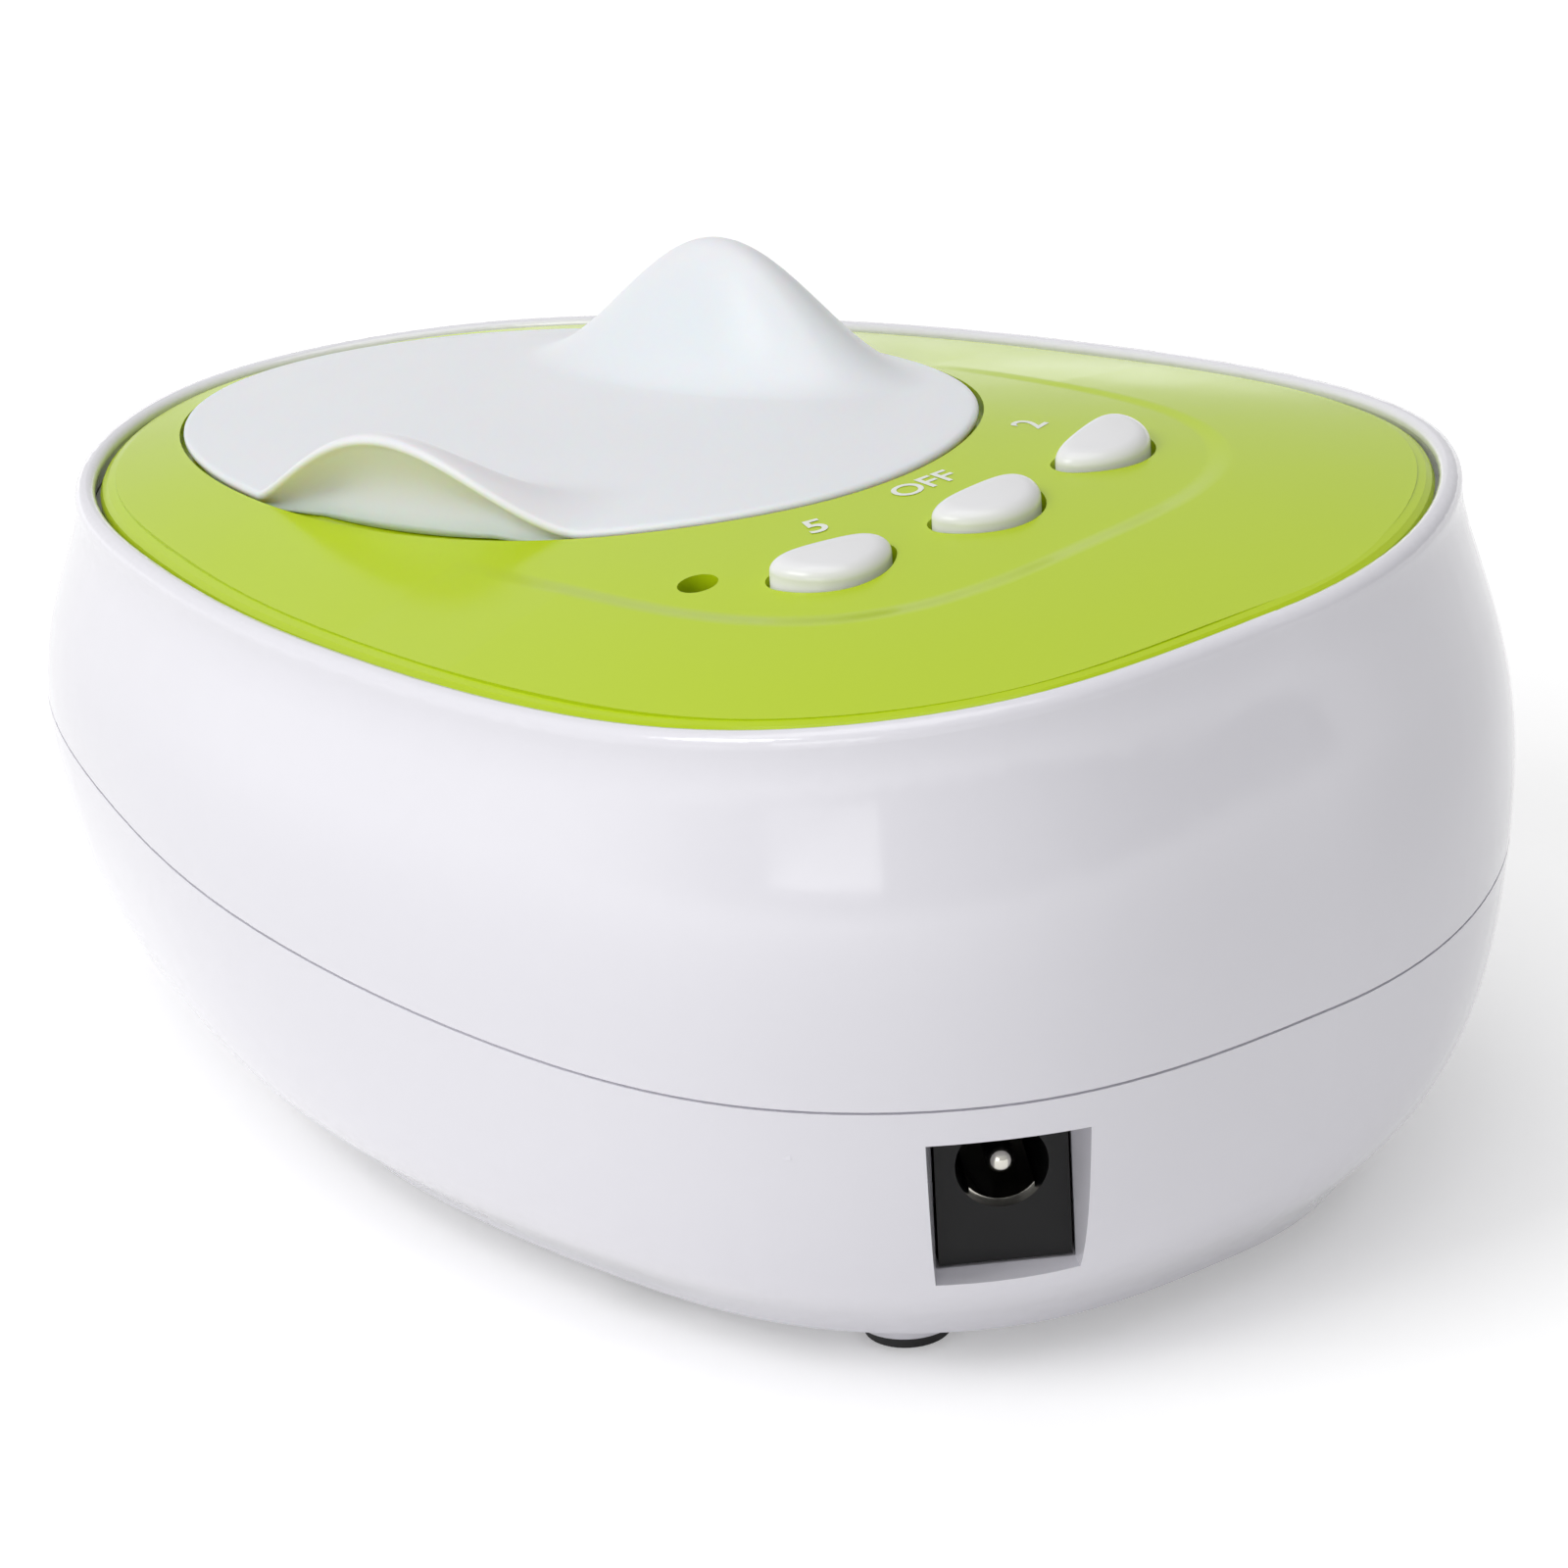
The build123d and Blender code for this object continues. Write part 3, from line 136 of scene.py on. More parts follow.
def panel_height(x, y):
    """Top of the coloured panel: the sloping plane of the rim plus a crown that falls with the square of
    the share of the way from the middle to the panel's edge."""
    edge = rim_radius(np.arctan2(y, x)) - PANEL_INSET
    share = np.minimum(np.hypot(x, y) / edge, CROWN_REACH)
    return RIM_HEIGHT + RIM_SLOPE * x - PANEL_DROP + PANEL_CROWN * (1 - share**2)


def lid_half_width(x):
    """Half width of the lid at x: the superellipse, scaled up steadily toward +X."""
    share = (x - LID_CENTRE[0]) / LID_HALF[0]
    t = np.minimum(1.0, np.abs(share))
    return LID_HALF[1] * (1 - t**LID_POWER) ** (1 / LID_POWER) * (1 + LID_EGG * share)


def lip_share(x):
    """Height of the wave along the front edge, 0 to 1: a raised cosine to a power, longer toward +X."""
    fore = x >= LIP_PEAK_X
    length = np.where(fore, LIP_FORE[0], LIP_REAR[0])
    fullness = np.where(fore, LIP_FORE[1], LIP_REAR[1])
    t = np.clip((x - LIP_PEAK_X) / length, -1.0, 1.0)
    return (0.5 * (1 + np.cos(np.pi * t))) ** fullness


def bell_height(x, y):
    """Grip: a raised cosine of the distance from its middle, measured in its own half lengths."""
    along = (x - BELL_CENTRE[0]) / BELL_HALF_LENGTH
    across = (y - BELL_CENTRE[1]) / BELL_HALF_WIDTH
    d = np.minimum(1.0, np.hypot(along, across))
    return BELL_HEIGHT * 0.5 * (1 + np.cos(np.pi * d))


def lid_height(x, y):
    """Top of the lid: the panel's height plus the stand, the grip, and the wave, which eases off inboard as
    a raised cosine."""
    inboard = np.clip((lid_half_width(x) + y - LID_CENTRE[1]) / LIP_FOLD, 0.0, 1.0)
    wave = np.where(y < 0, LIP_RISE * lip_share(x) * 0.5 * (1 + np.cos(np.pi * inboard)), 0.0)
    return panel_height(x, y) + LID_STAND + wave + bell_height(x, y)


# ------------------------------------------------------------------ meshes from grids
def add_piece(name, points, faces, body, replaced=()):
    """Mesh object from points in the case's millimetres, moved so that the frame's origin is under the middle
    of the case."""
    mesh = bpy.data.meshes.new(name)
    placed = (np.asarray(points, float) - (CASE_MIDDLE_X, 0, 0)) * MM
    mesh.from_pydata(placed.tolist(), [], [list(f) for f in faces])
    mesh.polygons.foreach_set("use_smooth", np.ones(len(mesh.polygons), bool))
    mesh.update()
    piece = bpy.data.objects.new(name, mesh)
    bpy.context.scene.collection.objects.link(piece)
    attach(piece, body)
    if replaced:
        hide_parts(*replaced)
    return piece


def closed_rings(rings):
    """Points and faces of a skin through closed rings, in order, with a pole at the middle of the first and
    of the last ring."""
    count, around = rings.shape[:2]
    points = np.vstack([rings.reshape(-1, 3), rings[0].mean(0), rings[-1].mean(0)])
    i, j = np.meshgrid(np.arange(count - 1), np.arange(around), indexing="ij")
    here, beside = i * around + j, i * around + (j + 1) % around
    quads = np.stack([here, here + around, beside + around, beside], -1).reshape(-1, 4)
    first, last = count * around, count * around + 1
    column = np.arange(around)
    after = (column + 1) % around
    start = np.stack([np.full(around, first), column, after], -1)
    base = (count - 1) * around
    end = np.stack([np.full(around, last), base + after, base + column], -1)
    return points, quads.tolist() + start.tolist() + end.tolist()


def tube_rings(rings):
    """Points and faces of a skin through closed rings whose last ring joins the first, as on a wall that runs
    round."""
    count, around = rings.shape[:2]
    i, j = np.meshgrid(np.arange(count), np.arange(around), indexing="ij")
    ahead = (i + 1) % count
    beside = (j + 1) % around
    corners = [i * around + j, ahead * around + j, ahead * around + beside, i * around + beside]
    quads = np.stack(corners, -1)
    return rings.reshape(-1, 3), quads.reshape(-1, 4).tolist()


def lid_outline(inset):
    """Lid outline moved in by inset: cosine and sine raised to two over the power, widened toward +X."""
    a = np.linspace(0, FULL_TURN, OUTLINE_POINTS, endpoint=False)
    inset = np.broadcast_to(inset, a.shape)
    c, s = np.cos(a), np.sin(a)
    x = (LID_HALF[0] - inset) * np.sign(c) * np.abs(c) ** (2 / LID_POWER)
    y = (LID_HALF[1] - inset) * np.sign(s) * np.abs(s) ** (2 / LID_POWER)
    return LID_CENTRE[0] + x, LID_CENTRE[1] + y * (1 + LID_EGG * x / LID_HALF[0])


def scaled_about_middle(x, y, share):
    """Outline moved toward the middle of the lid."""
    return LID_CENTRE[0] + (x - LID_CENTRE[0]) * share, LID_CENTRE[1] + (y - LID_CENTRE[1]) * share


def make_lid():
    """Lid skin: the top as outlines that grow from the middle, a half-round edge, a scooped front under the
    wave that leans inboard and back out to its foot, and an underside that is hollow under the grip."""
    rings = []
    edge_x, edge_y = lid_outline(LID_EDGE_R)
    for share in np.linspace(*TOP_RINGS):
        x, y = scaled_about_middle(edge_x, edge_y, share)
        rings.append((x, y, lid_height(x, y)))
    crest = lid_height(edge_x, edge_y)
    for angle in np.radians(np.linspace(*EDGE_RINGS)):
        x, y = lid_outline(LID_EDGE_R * (1 - math.cos(angle)))
        rings.append((x, y, crest + LID_EDGE_R * (math.sin(angle) - 1)))
    under_edge = crest - 2 * LID_EDGE_R
    foot_z = panel_height(edge_x, edge_y) + LID_STAND - LID_THICK
    tall = np.clip((under_edge - foot_z) / LIP_TALL, 0.0, 1.0)
    for t in np.linspace(*SCOOP_RINGS):
        lean = (LIP_FOOT - LID_EDGE_R) * t + LIP_SCOOP * math.sin(math.pi * t)
        x, y = lid_outline(LID_EDGE_R + lean * tall)
        rings.append((x, y, under_edge + (foot_z - under_edge) * t))
    foot_x, foot_y = lid_outline(LID_EDGE_R + (LIP_FOOT - LID_EDGE_R) * tall)
    for share in np.linspace(*UNDER_RINGS):
        x, y = scaled_about_middle(foot_x, foot_y, share)
        rings.append((x, y, panel_height(x, y) + LID_STAND - LID_THICK + bell_height(x, y)))
    points, faces = closed_rings(np.array(rings).transpose(0, 2, 1))
    return add_piece("lid_cover", points, faces, "lid_with_baskets", ["lid"])


def make_skirt():
    """Oval wall under the lid: an ellipse with a thickness, from a tilted plane up into the lid."""
    a = np.linspace(0, FULL_TURN, SKIRT_POINTS, endpoint=False)
    middle = panel_height(np.array(TANK_CENTRE_X), np.array(0.0))
    middle = middle - PANEL_CROWN * MOUTH_CROWN_SHARE - PANEL_THICK
    edge_in, edge_up = SKIRT_EDGE
    # inset from the outside and height over the lower edge; None stands for the top, inside the lid
    profile = ((0.0, None), (0.0, 0.0), (edge_in, -edge_up), (SKIRT_THICK - edge_in, -edge_up),
               (SKIRT_THICK, 0.0), (SKIRT_THICK, None))
    rings = []
    for inset, up in profile:
        x = TANK_CENTRE_X + (SKIRT_HALF[0] - inset) * np.cos(a)
        y = (SKIRT_HALF[1] - inset) * np.sin(a)
        low = middle + MOUTH_SLOPE * (x - TANK_CENTRE_X) - SKIRT_DROP
        high = panel_height(x, y) + LID_STAND - LID_THICK + bell_height(x, y) + SKIRT_ROOT
        rings.append((x, y, high if up is None else low + up))
    points, faces = tube_rings(np.array(rings).transpose(0, 2, 1))
    return add_piece("lid_skirt", points, faces, "lid_with_baskets")


def make_tab_socket():
    """Socket that grips the lens holder's tab: a block whose outline is a superellipse, from its foot up into
    the thickness of the lid."""
    a = np.linspace(0, FULL_TURN, SOCKET_POINTS, endpoint=False)
    c, s = np.cos(a), np.sin(a)
    c = np.sign(c) * np.abs(c) ** (2 / SOCKET_POWER)
    s = np.sign(s) * np.abs(s) ** (2 / SOCKET_POWER)
    rings = []
    # inset from the outline and height; None stands for the top, inside the lid
    edge_top = SOCKET_LOW + SOCKET_EDGE
    profile = ((0.0, None), (0.0, edge_top), (SOCKET_EDGE, SOCKET_LOW), (SOCKET_FOOT_INSET, SOCKET_LOW))
    for inset, level in profile:
        x = SOCKET_MIDDLE[0] + (SOCKET_HALF[0] - inset) * c
        y = SOCKET_MIDDLE[1] + (SOCKET_HALF[1] - inset) * s
        rings.append((x, y, lid_height(x, y) - LID_THICK / 2 if level is None else np.full_like(x, level)))
    points, faces = closed_rings(np.array(rings).transpose(0, 2, 1))
    return add_piece("tab_socket", points, faces, "lid_with_baskets")


def make_cap(name, turn):
    """Push button: an oval that is fuller on the side away from the lid, slightly domed, with a rounded edge,
    straight sides and a flange that keeps it under the panel."""
    turn = math.radians(turn)
    place = np.array((math.cos(turn), math.sin(turn))) * BUTTON_ARC_R + (BUTTON_ARC_CENTRE_X, 0)
    top = float(panel_height(place[:1], place[1:])[0]) + BUTTON_STAND
    a = np.linspace(0, FULL_TURN, BUTTON_POINTS, endpoint=False)
    edge_share = BUTTON_EDGE_R / BUTTON_HALF[0]
    # share of the outline, growth past it and depth under the top
    profile = [(share * (1 - edge_share), 0.0, 0.0) for share in np.linspace(*CAP_TOP_RINGS)]
    for angle in np.radians(np.linspace(*CAP_EDGE_RINGS)):
        profile.append((1 - edge_share * (1 - math.cos(angle)), 0.0, BUTTON_EDGE_R * (1 - math.sin(angle))))
    domed = len(profile)
    flange, thick = BUTTON_FLANGE
    step = top - BUTTON_FOOT - thick
    profile += [(1.0, 0.0, step), (1.0, flange, step), (1.0, flange, step + thick)]
    profile.append((CAP_BASE_SHARE, 0.0, step + thick))
    rings = []
    for index, (reach, grow, down) in enumerate(profile):
        u = (BUTTON_HALF[0] * reach + grow) * (np.cos(a) + BUTTON_LEAN * np.cos(2 * a))
        v = (BUTTON_HALF[1] * reach + grow) * np.sin(a)
        x = place[0] + u * math.cos(turn) - v * math.sin(turn)
        y = place[1] + u * math.sin(turn) + v * math.cos(turn)
        dome = BUTTON_DOME * reach**2 if index < domed else 0.0
        rings.append((x, y, np.full_like(x, top - down - dome)))
    points, faces = closed_rings(np.array(rings).transpose(0, 2, 1))
    return add_piece(f"cap_{name}", points, faces, f"{name}_key", [f"button_{name}"])


def make_label(name, words, middle, turn, size):
    """Printed lettering laid on the panel: flat text turned to its place, each point lifted to the height of
    the panel under it."""
    curve = bpy.data.curves.new(name, "FONT")
    curve.body = words
    curve.size = size
    curve.align_x, curve.align_y = "CENTER", "CENTER"
    curve.resolution_u = LETTER_STEPS
    curve.offset = STROKE_MORE
    holder = bpy.data.objects.new(name, curve)
    bpy.context.scene.collection.objects.link(holder)
    flat = bpy.data.meshes.new_from_object(holder)
    bpy.data.objects.remove(holder)
    spots = np.zeros(len(flat.vertices) * 3)
    flat.vertices.foreach_get("co", spots)
    spots = spots.reshape(-1, 3)
    c, s = math.cos(math.radians(turn)), math.sin(math.radians(turn))
    x = middle[0] + spots[:, 0] * c - spots[:, 1] * s
    y = middle[1] + spots[:, 0] * s + spots[:, 1] * c
    points = np.stack([x, y, panel_height(x, y) + INK_STAND], -1)
    faces = [list(f.vertices) for f in flat.polygons]
    return add_piece(name, points, faces, "housing")


# ------------------------------------------------------------------ node groups
def new_group(name, inputs, outputs):
    """Empty shader group with named sockets; inputs are (name, kind, value) and outputs (name, kind)."""
    group = bpy.data.node_groups.new(name, "ShaderNodeTree")
    for label, kind, value in inputs:
        socket = group.interface.new_socket(label, in_out="INPUT", socket_type=kind)
        if value is not None:
            socket.default_value = value
    for label, kind in outputs:
        group.interface.new_socket(label, in_out="OUTPUT", socket_type=kind)
    given = group.nodes.new("NodeGroupInput")
    result = group.nodes.new("NodeGroupOutput")
    return group, given, result


def feed(tree, socket, value):
    """Gives an input its value: a link from a socket, a colour of three shares, or a number."""
    if isinstance(value, bpy.types.NodeSocket):
        tree.links.new(value, socket)
    elif isinstance(value, tuple) and socket.type == "RGBA":
        socket.default_value = (*value[:3], 1.0)
    else:
        socket.default_value = value


def maths(tree, operation, a, b=None, clamp=False):
    """Math node; a and b are sockets or numbers."""
    node = tree.nodes.new("ShaderNodeMath")
    node.operation = operation
    node.use_clamp = clamp
    feed(tree, node.inputs[0], a)
    if b is not None:
        feed(tree, node.inputs[1], b)
    return node.outputs[0]


def noise(tree, vector, scale, detail, roughness):
    """Noise texture factor; scale is a socket or a number, in waves per metre."""
    node = tree.nodes.new("ShaderNodeTexNoise")
    for label, value in (("Vector", vector), ("Scale", scale), ("Detail", detail), ("Roughness", roughness)):
        feed(tree, node.inputs[label], value)
    return node.outputs["Fac"]


def spread(tree, value, low_in, high_in, low_out, high_out):
    """Map Range node; every bound is a socket or a number."""
    node = tree.nodes.new("ShaderNodeMapRange")
    bounds = (value, low_in, high_in, low_out, high_out)
    for label, bound in zip(("Value", "From Min", "From Max", "To Min", "To Max"), bounds):
        feed(tree, node.inputs[label], bound)
    return node.outputs["Result"]


def blend_colours(tree, factor, first, second):
    """Mix Color node; first and second are sockets or colours."""
    node = tree.nodes.new("ShaderNodeMix")
    node.data_type = "RGBA"
    feed(tree, node.inputs["Factor"], factor)
    for label, value in (("A", first), ("B", second)):
        feed(tree, next(s for s in node.inputs if s.name == label and s.type == "RGBA"), value)
    return next(s for s in node.outputs if s.type == "RGBA")


def bump(tree, height, depth, normal=None):
    """Bump node; depth in metres, as a socket or a number."""
    node = tree.nodes.new("ShaderNodeBump")
    feed(tree, node.inputs["Distance"], depth)
    feed(tree, node.inputs["Height"], height)
    if normal is not None:
        feed(tree, node.inputs["Normal"], normal)
    return node.outputs["Normal"]


# scale in waves per metre, detail and roughness of each noise
DRIFT_NOISE = (38.0, 2.0, 0.5)
GLOSS_NOISE = (120.0, 4.0, 0.5)
BLOTCH_NOISE = (90.0, 3.0, 0.5)
SMEAR_NOISE = (26.0, 5.0, 0.65)
# detail and roughness of the noises whose scale a material gives
GRAIN_NOISE = (2.0, 0.6)
LINE_NOISE = (3.0, 0.5)
# stretch of a noise over which a gloss or a mask runs from its low to its high value
MIDDLE_STRETCH = (0.3, 0.7)
LINE_STRETCH = (0.1, 0.45)
SMEAR_STRETCH = (0.52, 0.72)
# scale along each axis that draws a noise out into lines along X
ALONG_LINES = (0.06, 1.0, 1.0)
# where the panel's step has faded out, as a share of its half length
STEP_FADE = -0.45


def make_moulded_skin():
    """Moulded plastic: a fine pebbled skin, slow waves in the gloss, and a faint drift of colour."""
    group, given, result = new_group(
        "moulded_skin",
        [("Vector", "NodeSocketVector", None), ("Colour", "NodeSocketColor", (0.8, 0.8, 0.8, 1)),
         ("Drift Colour", "NodeSocketColor", (0.7, 0.7, 0.7, 1)), ("Drift", "NodeSocketFloat", 0.3),
         ("Grain Scale", "NodeSocketFloat", 2500.0), ("Grain Depth", "NodeSocketFloat", 0.000004),
         ("Roughness Low", "NodeSocketFloat", 0.2), ("Roughness High", "NodeSocketFloat", 0.3)],
        [("Colour", "NodeSocketColor"), ("Roughness", "NodeSocketFloat"), ("Normal", "NodeSocketVector")],
    )
    where = given.outputs["Vector"]
    slow = noise(group, where, *DRIFT_NOISE)
    drift = maths(group, "MULTIPLY", slow, given.outputs["Drift"], clamp=True)
    colour = blend_colours(group, drift, given.outputs["Colour"], given.outputs["Drift Colour"])
    rough = spread(group, noise(group, where, *GLOSS_NOISE), *MIDDLE_STRETCH,
                   given.outputs["Roughness Low"], given.outputs["Roughness High"])
    grain = noise(group, where, given.outputs["Grain Scale"], *GRAIN_NOISE)
    normal = bump(group, grain, given.outputs["Grain Depth"])
    for label, output in (("Colour", colour), ("Roughness", rough), ("Normal", normal)):
        group.links.new(output, result.inputs[label])
    return group


def make_drawn_metal():
    """Drawn or brushed metal: noise stretched along one axis gives fine lines in colour, gloss and relief."""
    group, given, result = new_group(
        "drawn_metal",
        [("Vector", "NodeSocketVector", None), ("Colour", "NodeSocketColor", (0.7, 0.7, 0.7, 1)),
         ("Line Colour", "NodeSocketColor", (0.5, 0.5, 0.5, 1)), ("Line Scale", "NodeSocketFloat", 900.0),
         ("Line Depth", "NodeSocketFloat", 0.000006), ("Roughness Low", "NodeSocketFloat", 0.2),
         ("Roughness High", "NodeSocketFloat", 0.4)],
        [("Colour", "NodeSocketColor"), ("Roughness", "NodeSocketFloat"), ("Normal", "NodeSocketVector")],
    )
    stretch = group.nodes.new("ShaderNodeMapping")
    stretch.inputs["Scale"].default_value = ALONG_LINES
    group.links.new(given.outputs["Vector"], stretch.inputs["Vector"])
    lines = noise(group, stretch.outputs["Vector"], given.outputs["Line Scale"], *LINE_NOISE)
    blotch = noise(group, given.outputs["Vector"], *BLOTCH_NOISE)
    mask = spread(group, maths(group, "MULTIPLY", lines, blotch), *LINE_STRETCH, 0.0, 1.0)
    colour = blend_colours(group, mask, given.outputs["Colour"], given.outputs["Line Colour"])
    rough = spread(group, lines, *MIDDLE_STRETCH,
                   given.outputs["Roughness Low"], given.outputs["Roughness High"])
    normal = bump(group, lines, given.outputs["Line Depth"])
    for label, output in (("Colour", colour), ("Roughness", rough), ("Normal", normal)):
        group.links.new(output, result.inputs[label])
    return group


def make_handling():
    """Faint handling marks: sparse soft smears that raise the roughness of a glossy face."""
    group, given, result = new_group(
        "handling_marks",
        [("Vector", "NodeSocketVector", None), ("Roughness", "NodeSocketFloat", 0.2),
         ("Amount", "NodeSocketFloat", 0.08)],
        [("Roughness", "NodeSocketFloat")],
    )
    smear = noise(group, given.outputs["Vector"], *SMEAR_NOISE)
    mask = spread(group, smear, *SMEAR_STRETCH, 0.0, 1.0)
    raised = maths(group, "MULTIPLY", mask, given.outputs["Amount"])
    total = maths(group, "ADD", given.outputs["Roughness"], raised, clamp=True)
    group.links.new(total, result.inputs["Roughness"])
    return group


def make_soft_step():
    """Height that steps up across a closed curve: 0 inside, 1 outside, with a smooth ramp between. The curve
    is a superellipse, and the step fades out toward -X."""
    group, given, result = new_group(
        "soft_step",
        [("Vector", "NodeSocketVector", None), ("Middle X", "NodeSocketFloat", 0.0),
         ("Half Length", "NodeSocketFloat", 0.03), ("Half Width", "NodeSocketFloat", 0.02),
         ("Power", "NodeSocketFloat", 3.0), ("Ramp", "NodeSocketFloat", 0.02)],
        [("Height", "NodeSocketFloat")],
    )
    half_length = given.outputs["Half Length"]
    half_width = given.outputs["Half Width"]
    power = given.outputs["Power"]
    parts = group.nodes.new("ShaderNodeSeparateXYZ")
    group.links.new(given.outputs["Vector"], parts.inputs[0])
    along = maths(group, "SUBTRACT", parts.outputs["X"], given.outputs["Middle X"])
    u = maths(group, "ABSOLUTE", maths(group, "DIVIDE", along, half_length))
    v = maths(group, "ABSOLUTE", maths(group, "DIVIDE", parts.outputs["Y"], half_width))
    total = maths(group, "ADD", maths(group, "POWER", u, power), maths(group, "POWER", v, power))
    reach = maths(group, "POWER", total, maths(group, "DIVIDE", 1.0, power))
    ramp = group.nodes.new("ShaderNodeMapRange")
    ramp.interpolation_type = "SMOOTHSTEP"
    feed(group, ramp.inputs["Value"], maths(group, "SUBTRACT", reach, 1.0))
    feed(group, ramp.inputs["From Min"], maths(group, "MULTIPLY", given.outputs["Ramp"], -1.0))
    feed(group, ramp.inputs["From Max"], given.outputs["Ramp"])
    fade = spread(group, along, maths(group, "MULTIPLY", half_length, STEP_FADE), 0.0, 0.0, 1.0)
    height = maths(group, "MULTIPLY", ramp.outputs["Result"], fade)
    group.links.new(height, result.inputs["Height"])
    return group


MOULDED = make_moulded_skin()
STEP = make_soft_step()
DRAWN = make_drawn_metal()
HANDLING = make_handling()


# ------------------------------------------------------------------ materials
def place_group(material, group, **values):
    """Group node in a material, fed with Object coordinates and given values by socket name."""
    tree = material.node_tree
    node = tree.nodes.new("ShaderNodeGroup")
    node.node_tree = group
    where = tree.nodes.new("ShaderNodeTexCoord")
    tree.links.new(where.outputs["Object"], node.inputs["Vector"])
    for label, value in values.items():
        feed(tree, node.inputs[label.replace("_", " ")], value)
    return node


def blank(name, **sockets):
    """Material with one Principled shader; sockets by name with _ for a space."""
    material = bpy.data.materials.new(name)
    material.use_nodes = True
    shader = material.node_tree.nodes["Principled BSDF"]
    for label, value in sockets.items():
        feed(material.node_tree, shader.inputs[label.replace("_", " ")], value)
    return material, shader


def plastic(name, colour, drift_colour, rough, grain, drift=0.4, marks=0.0, **sockets):
    """Moulded plastic in one colour with the skin of its mould; grain is its scale and depth."""
    material, shader = blank(name, **sockets)
    tree = material.node_tree
    skin = place_group(material, MOULDED, Colour=colour, Drift_Colour=drift_colour, Drift=drift,
                       Grain_Scale=grain[0], Grain_Depth=grain[1],
                       Roughness_Low=rough[0], Roughness_High=rough[1])
    roughness = skin.outputs["Roughness"]
    if marks:
        smears = place_group(material, HANDLING, Roughness=roughness, Amount=marks)
        roughness = smears.outputs["Roughness"]
    tree.links.new(skin.outputs["Colour"], shader.inputs["Base Color"])
    tree.links.new(roughness, shader.inputs["Roughness"])
    tree.links.new(skin.outputs["Normal"], shader.inputs["Normal"])
    return material


PANEL_STEP = {"Middle_X": 0.0114, "Half_Length": 0.0265, "Half_Width": 0.0233, "Power": 3.0, "Ramp": 0.034}
PANEL_STEP_DEPTH = 0.00027


def add_panel_step(material):
    """Adds the panel's soft step round the button field to its relief."""
    tree = material.node_tree
    shader = tree.nodes["Principled BSDF"]
    before = shader.inputs["Normal"].links[0].from_socket
    step = place_group(material, STEP, **PANEL_STEP)
    tree.links.new(bump(tree, step.outputs["Height"], PANEL_STEP_DEPTH, before), shader.inputs["Normal"])


def metal(name, colour, line_colour, rough, lines):
    """Drawn or turned metal; lines is their scale and depth."""
    material, shader = blank(name, Metallic=1.0)
    tree = material.node_tree
    face = place_group(material, DRAWN, Colour=colour, Line_Colour=line_colour,
                       Line_Scale=lines[0], Line_Depth=lines[1],
                       Roughness_Low=rough[0], Roughness_High=rough[1])
    for label, socket in (("Colour", "Base Color"), ("Roughness", "Roughness"), ("Normal", "Normal")):
        tree.links.new(face.outputs[label], shader.inputs[socket])
    return material


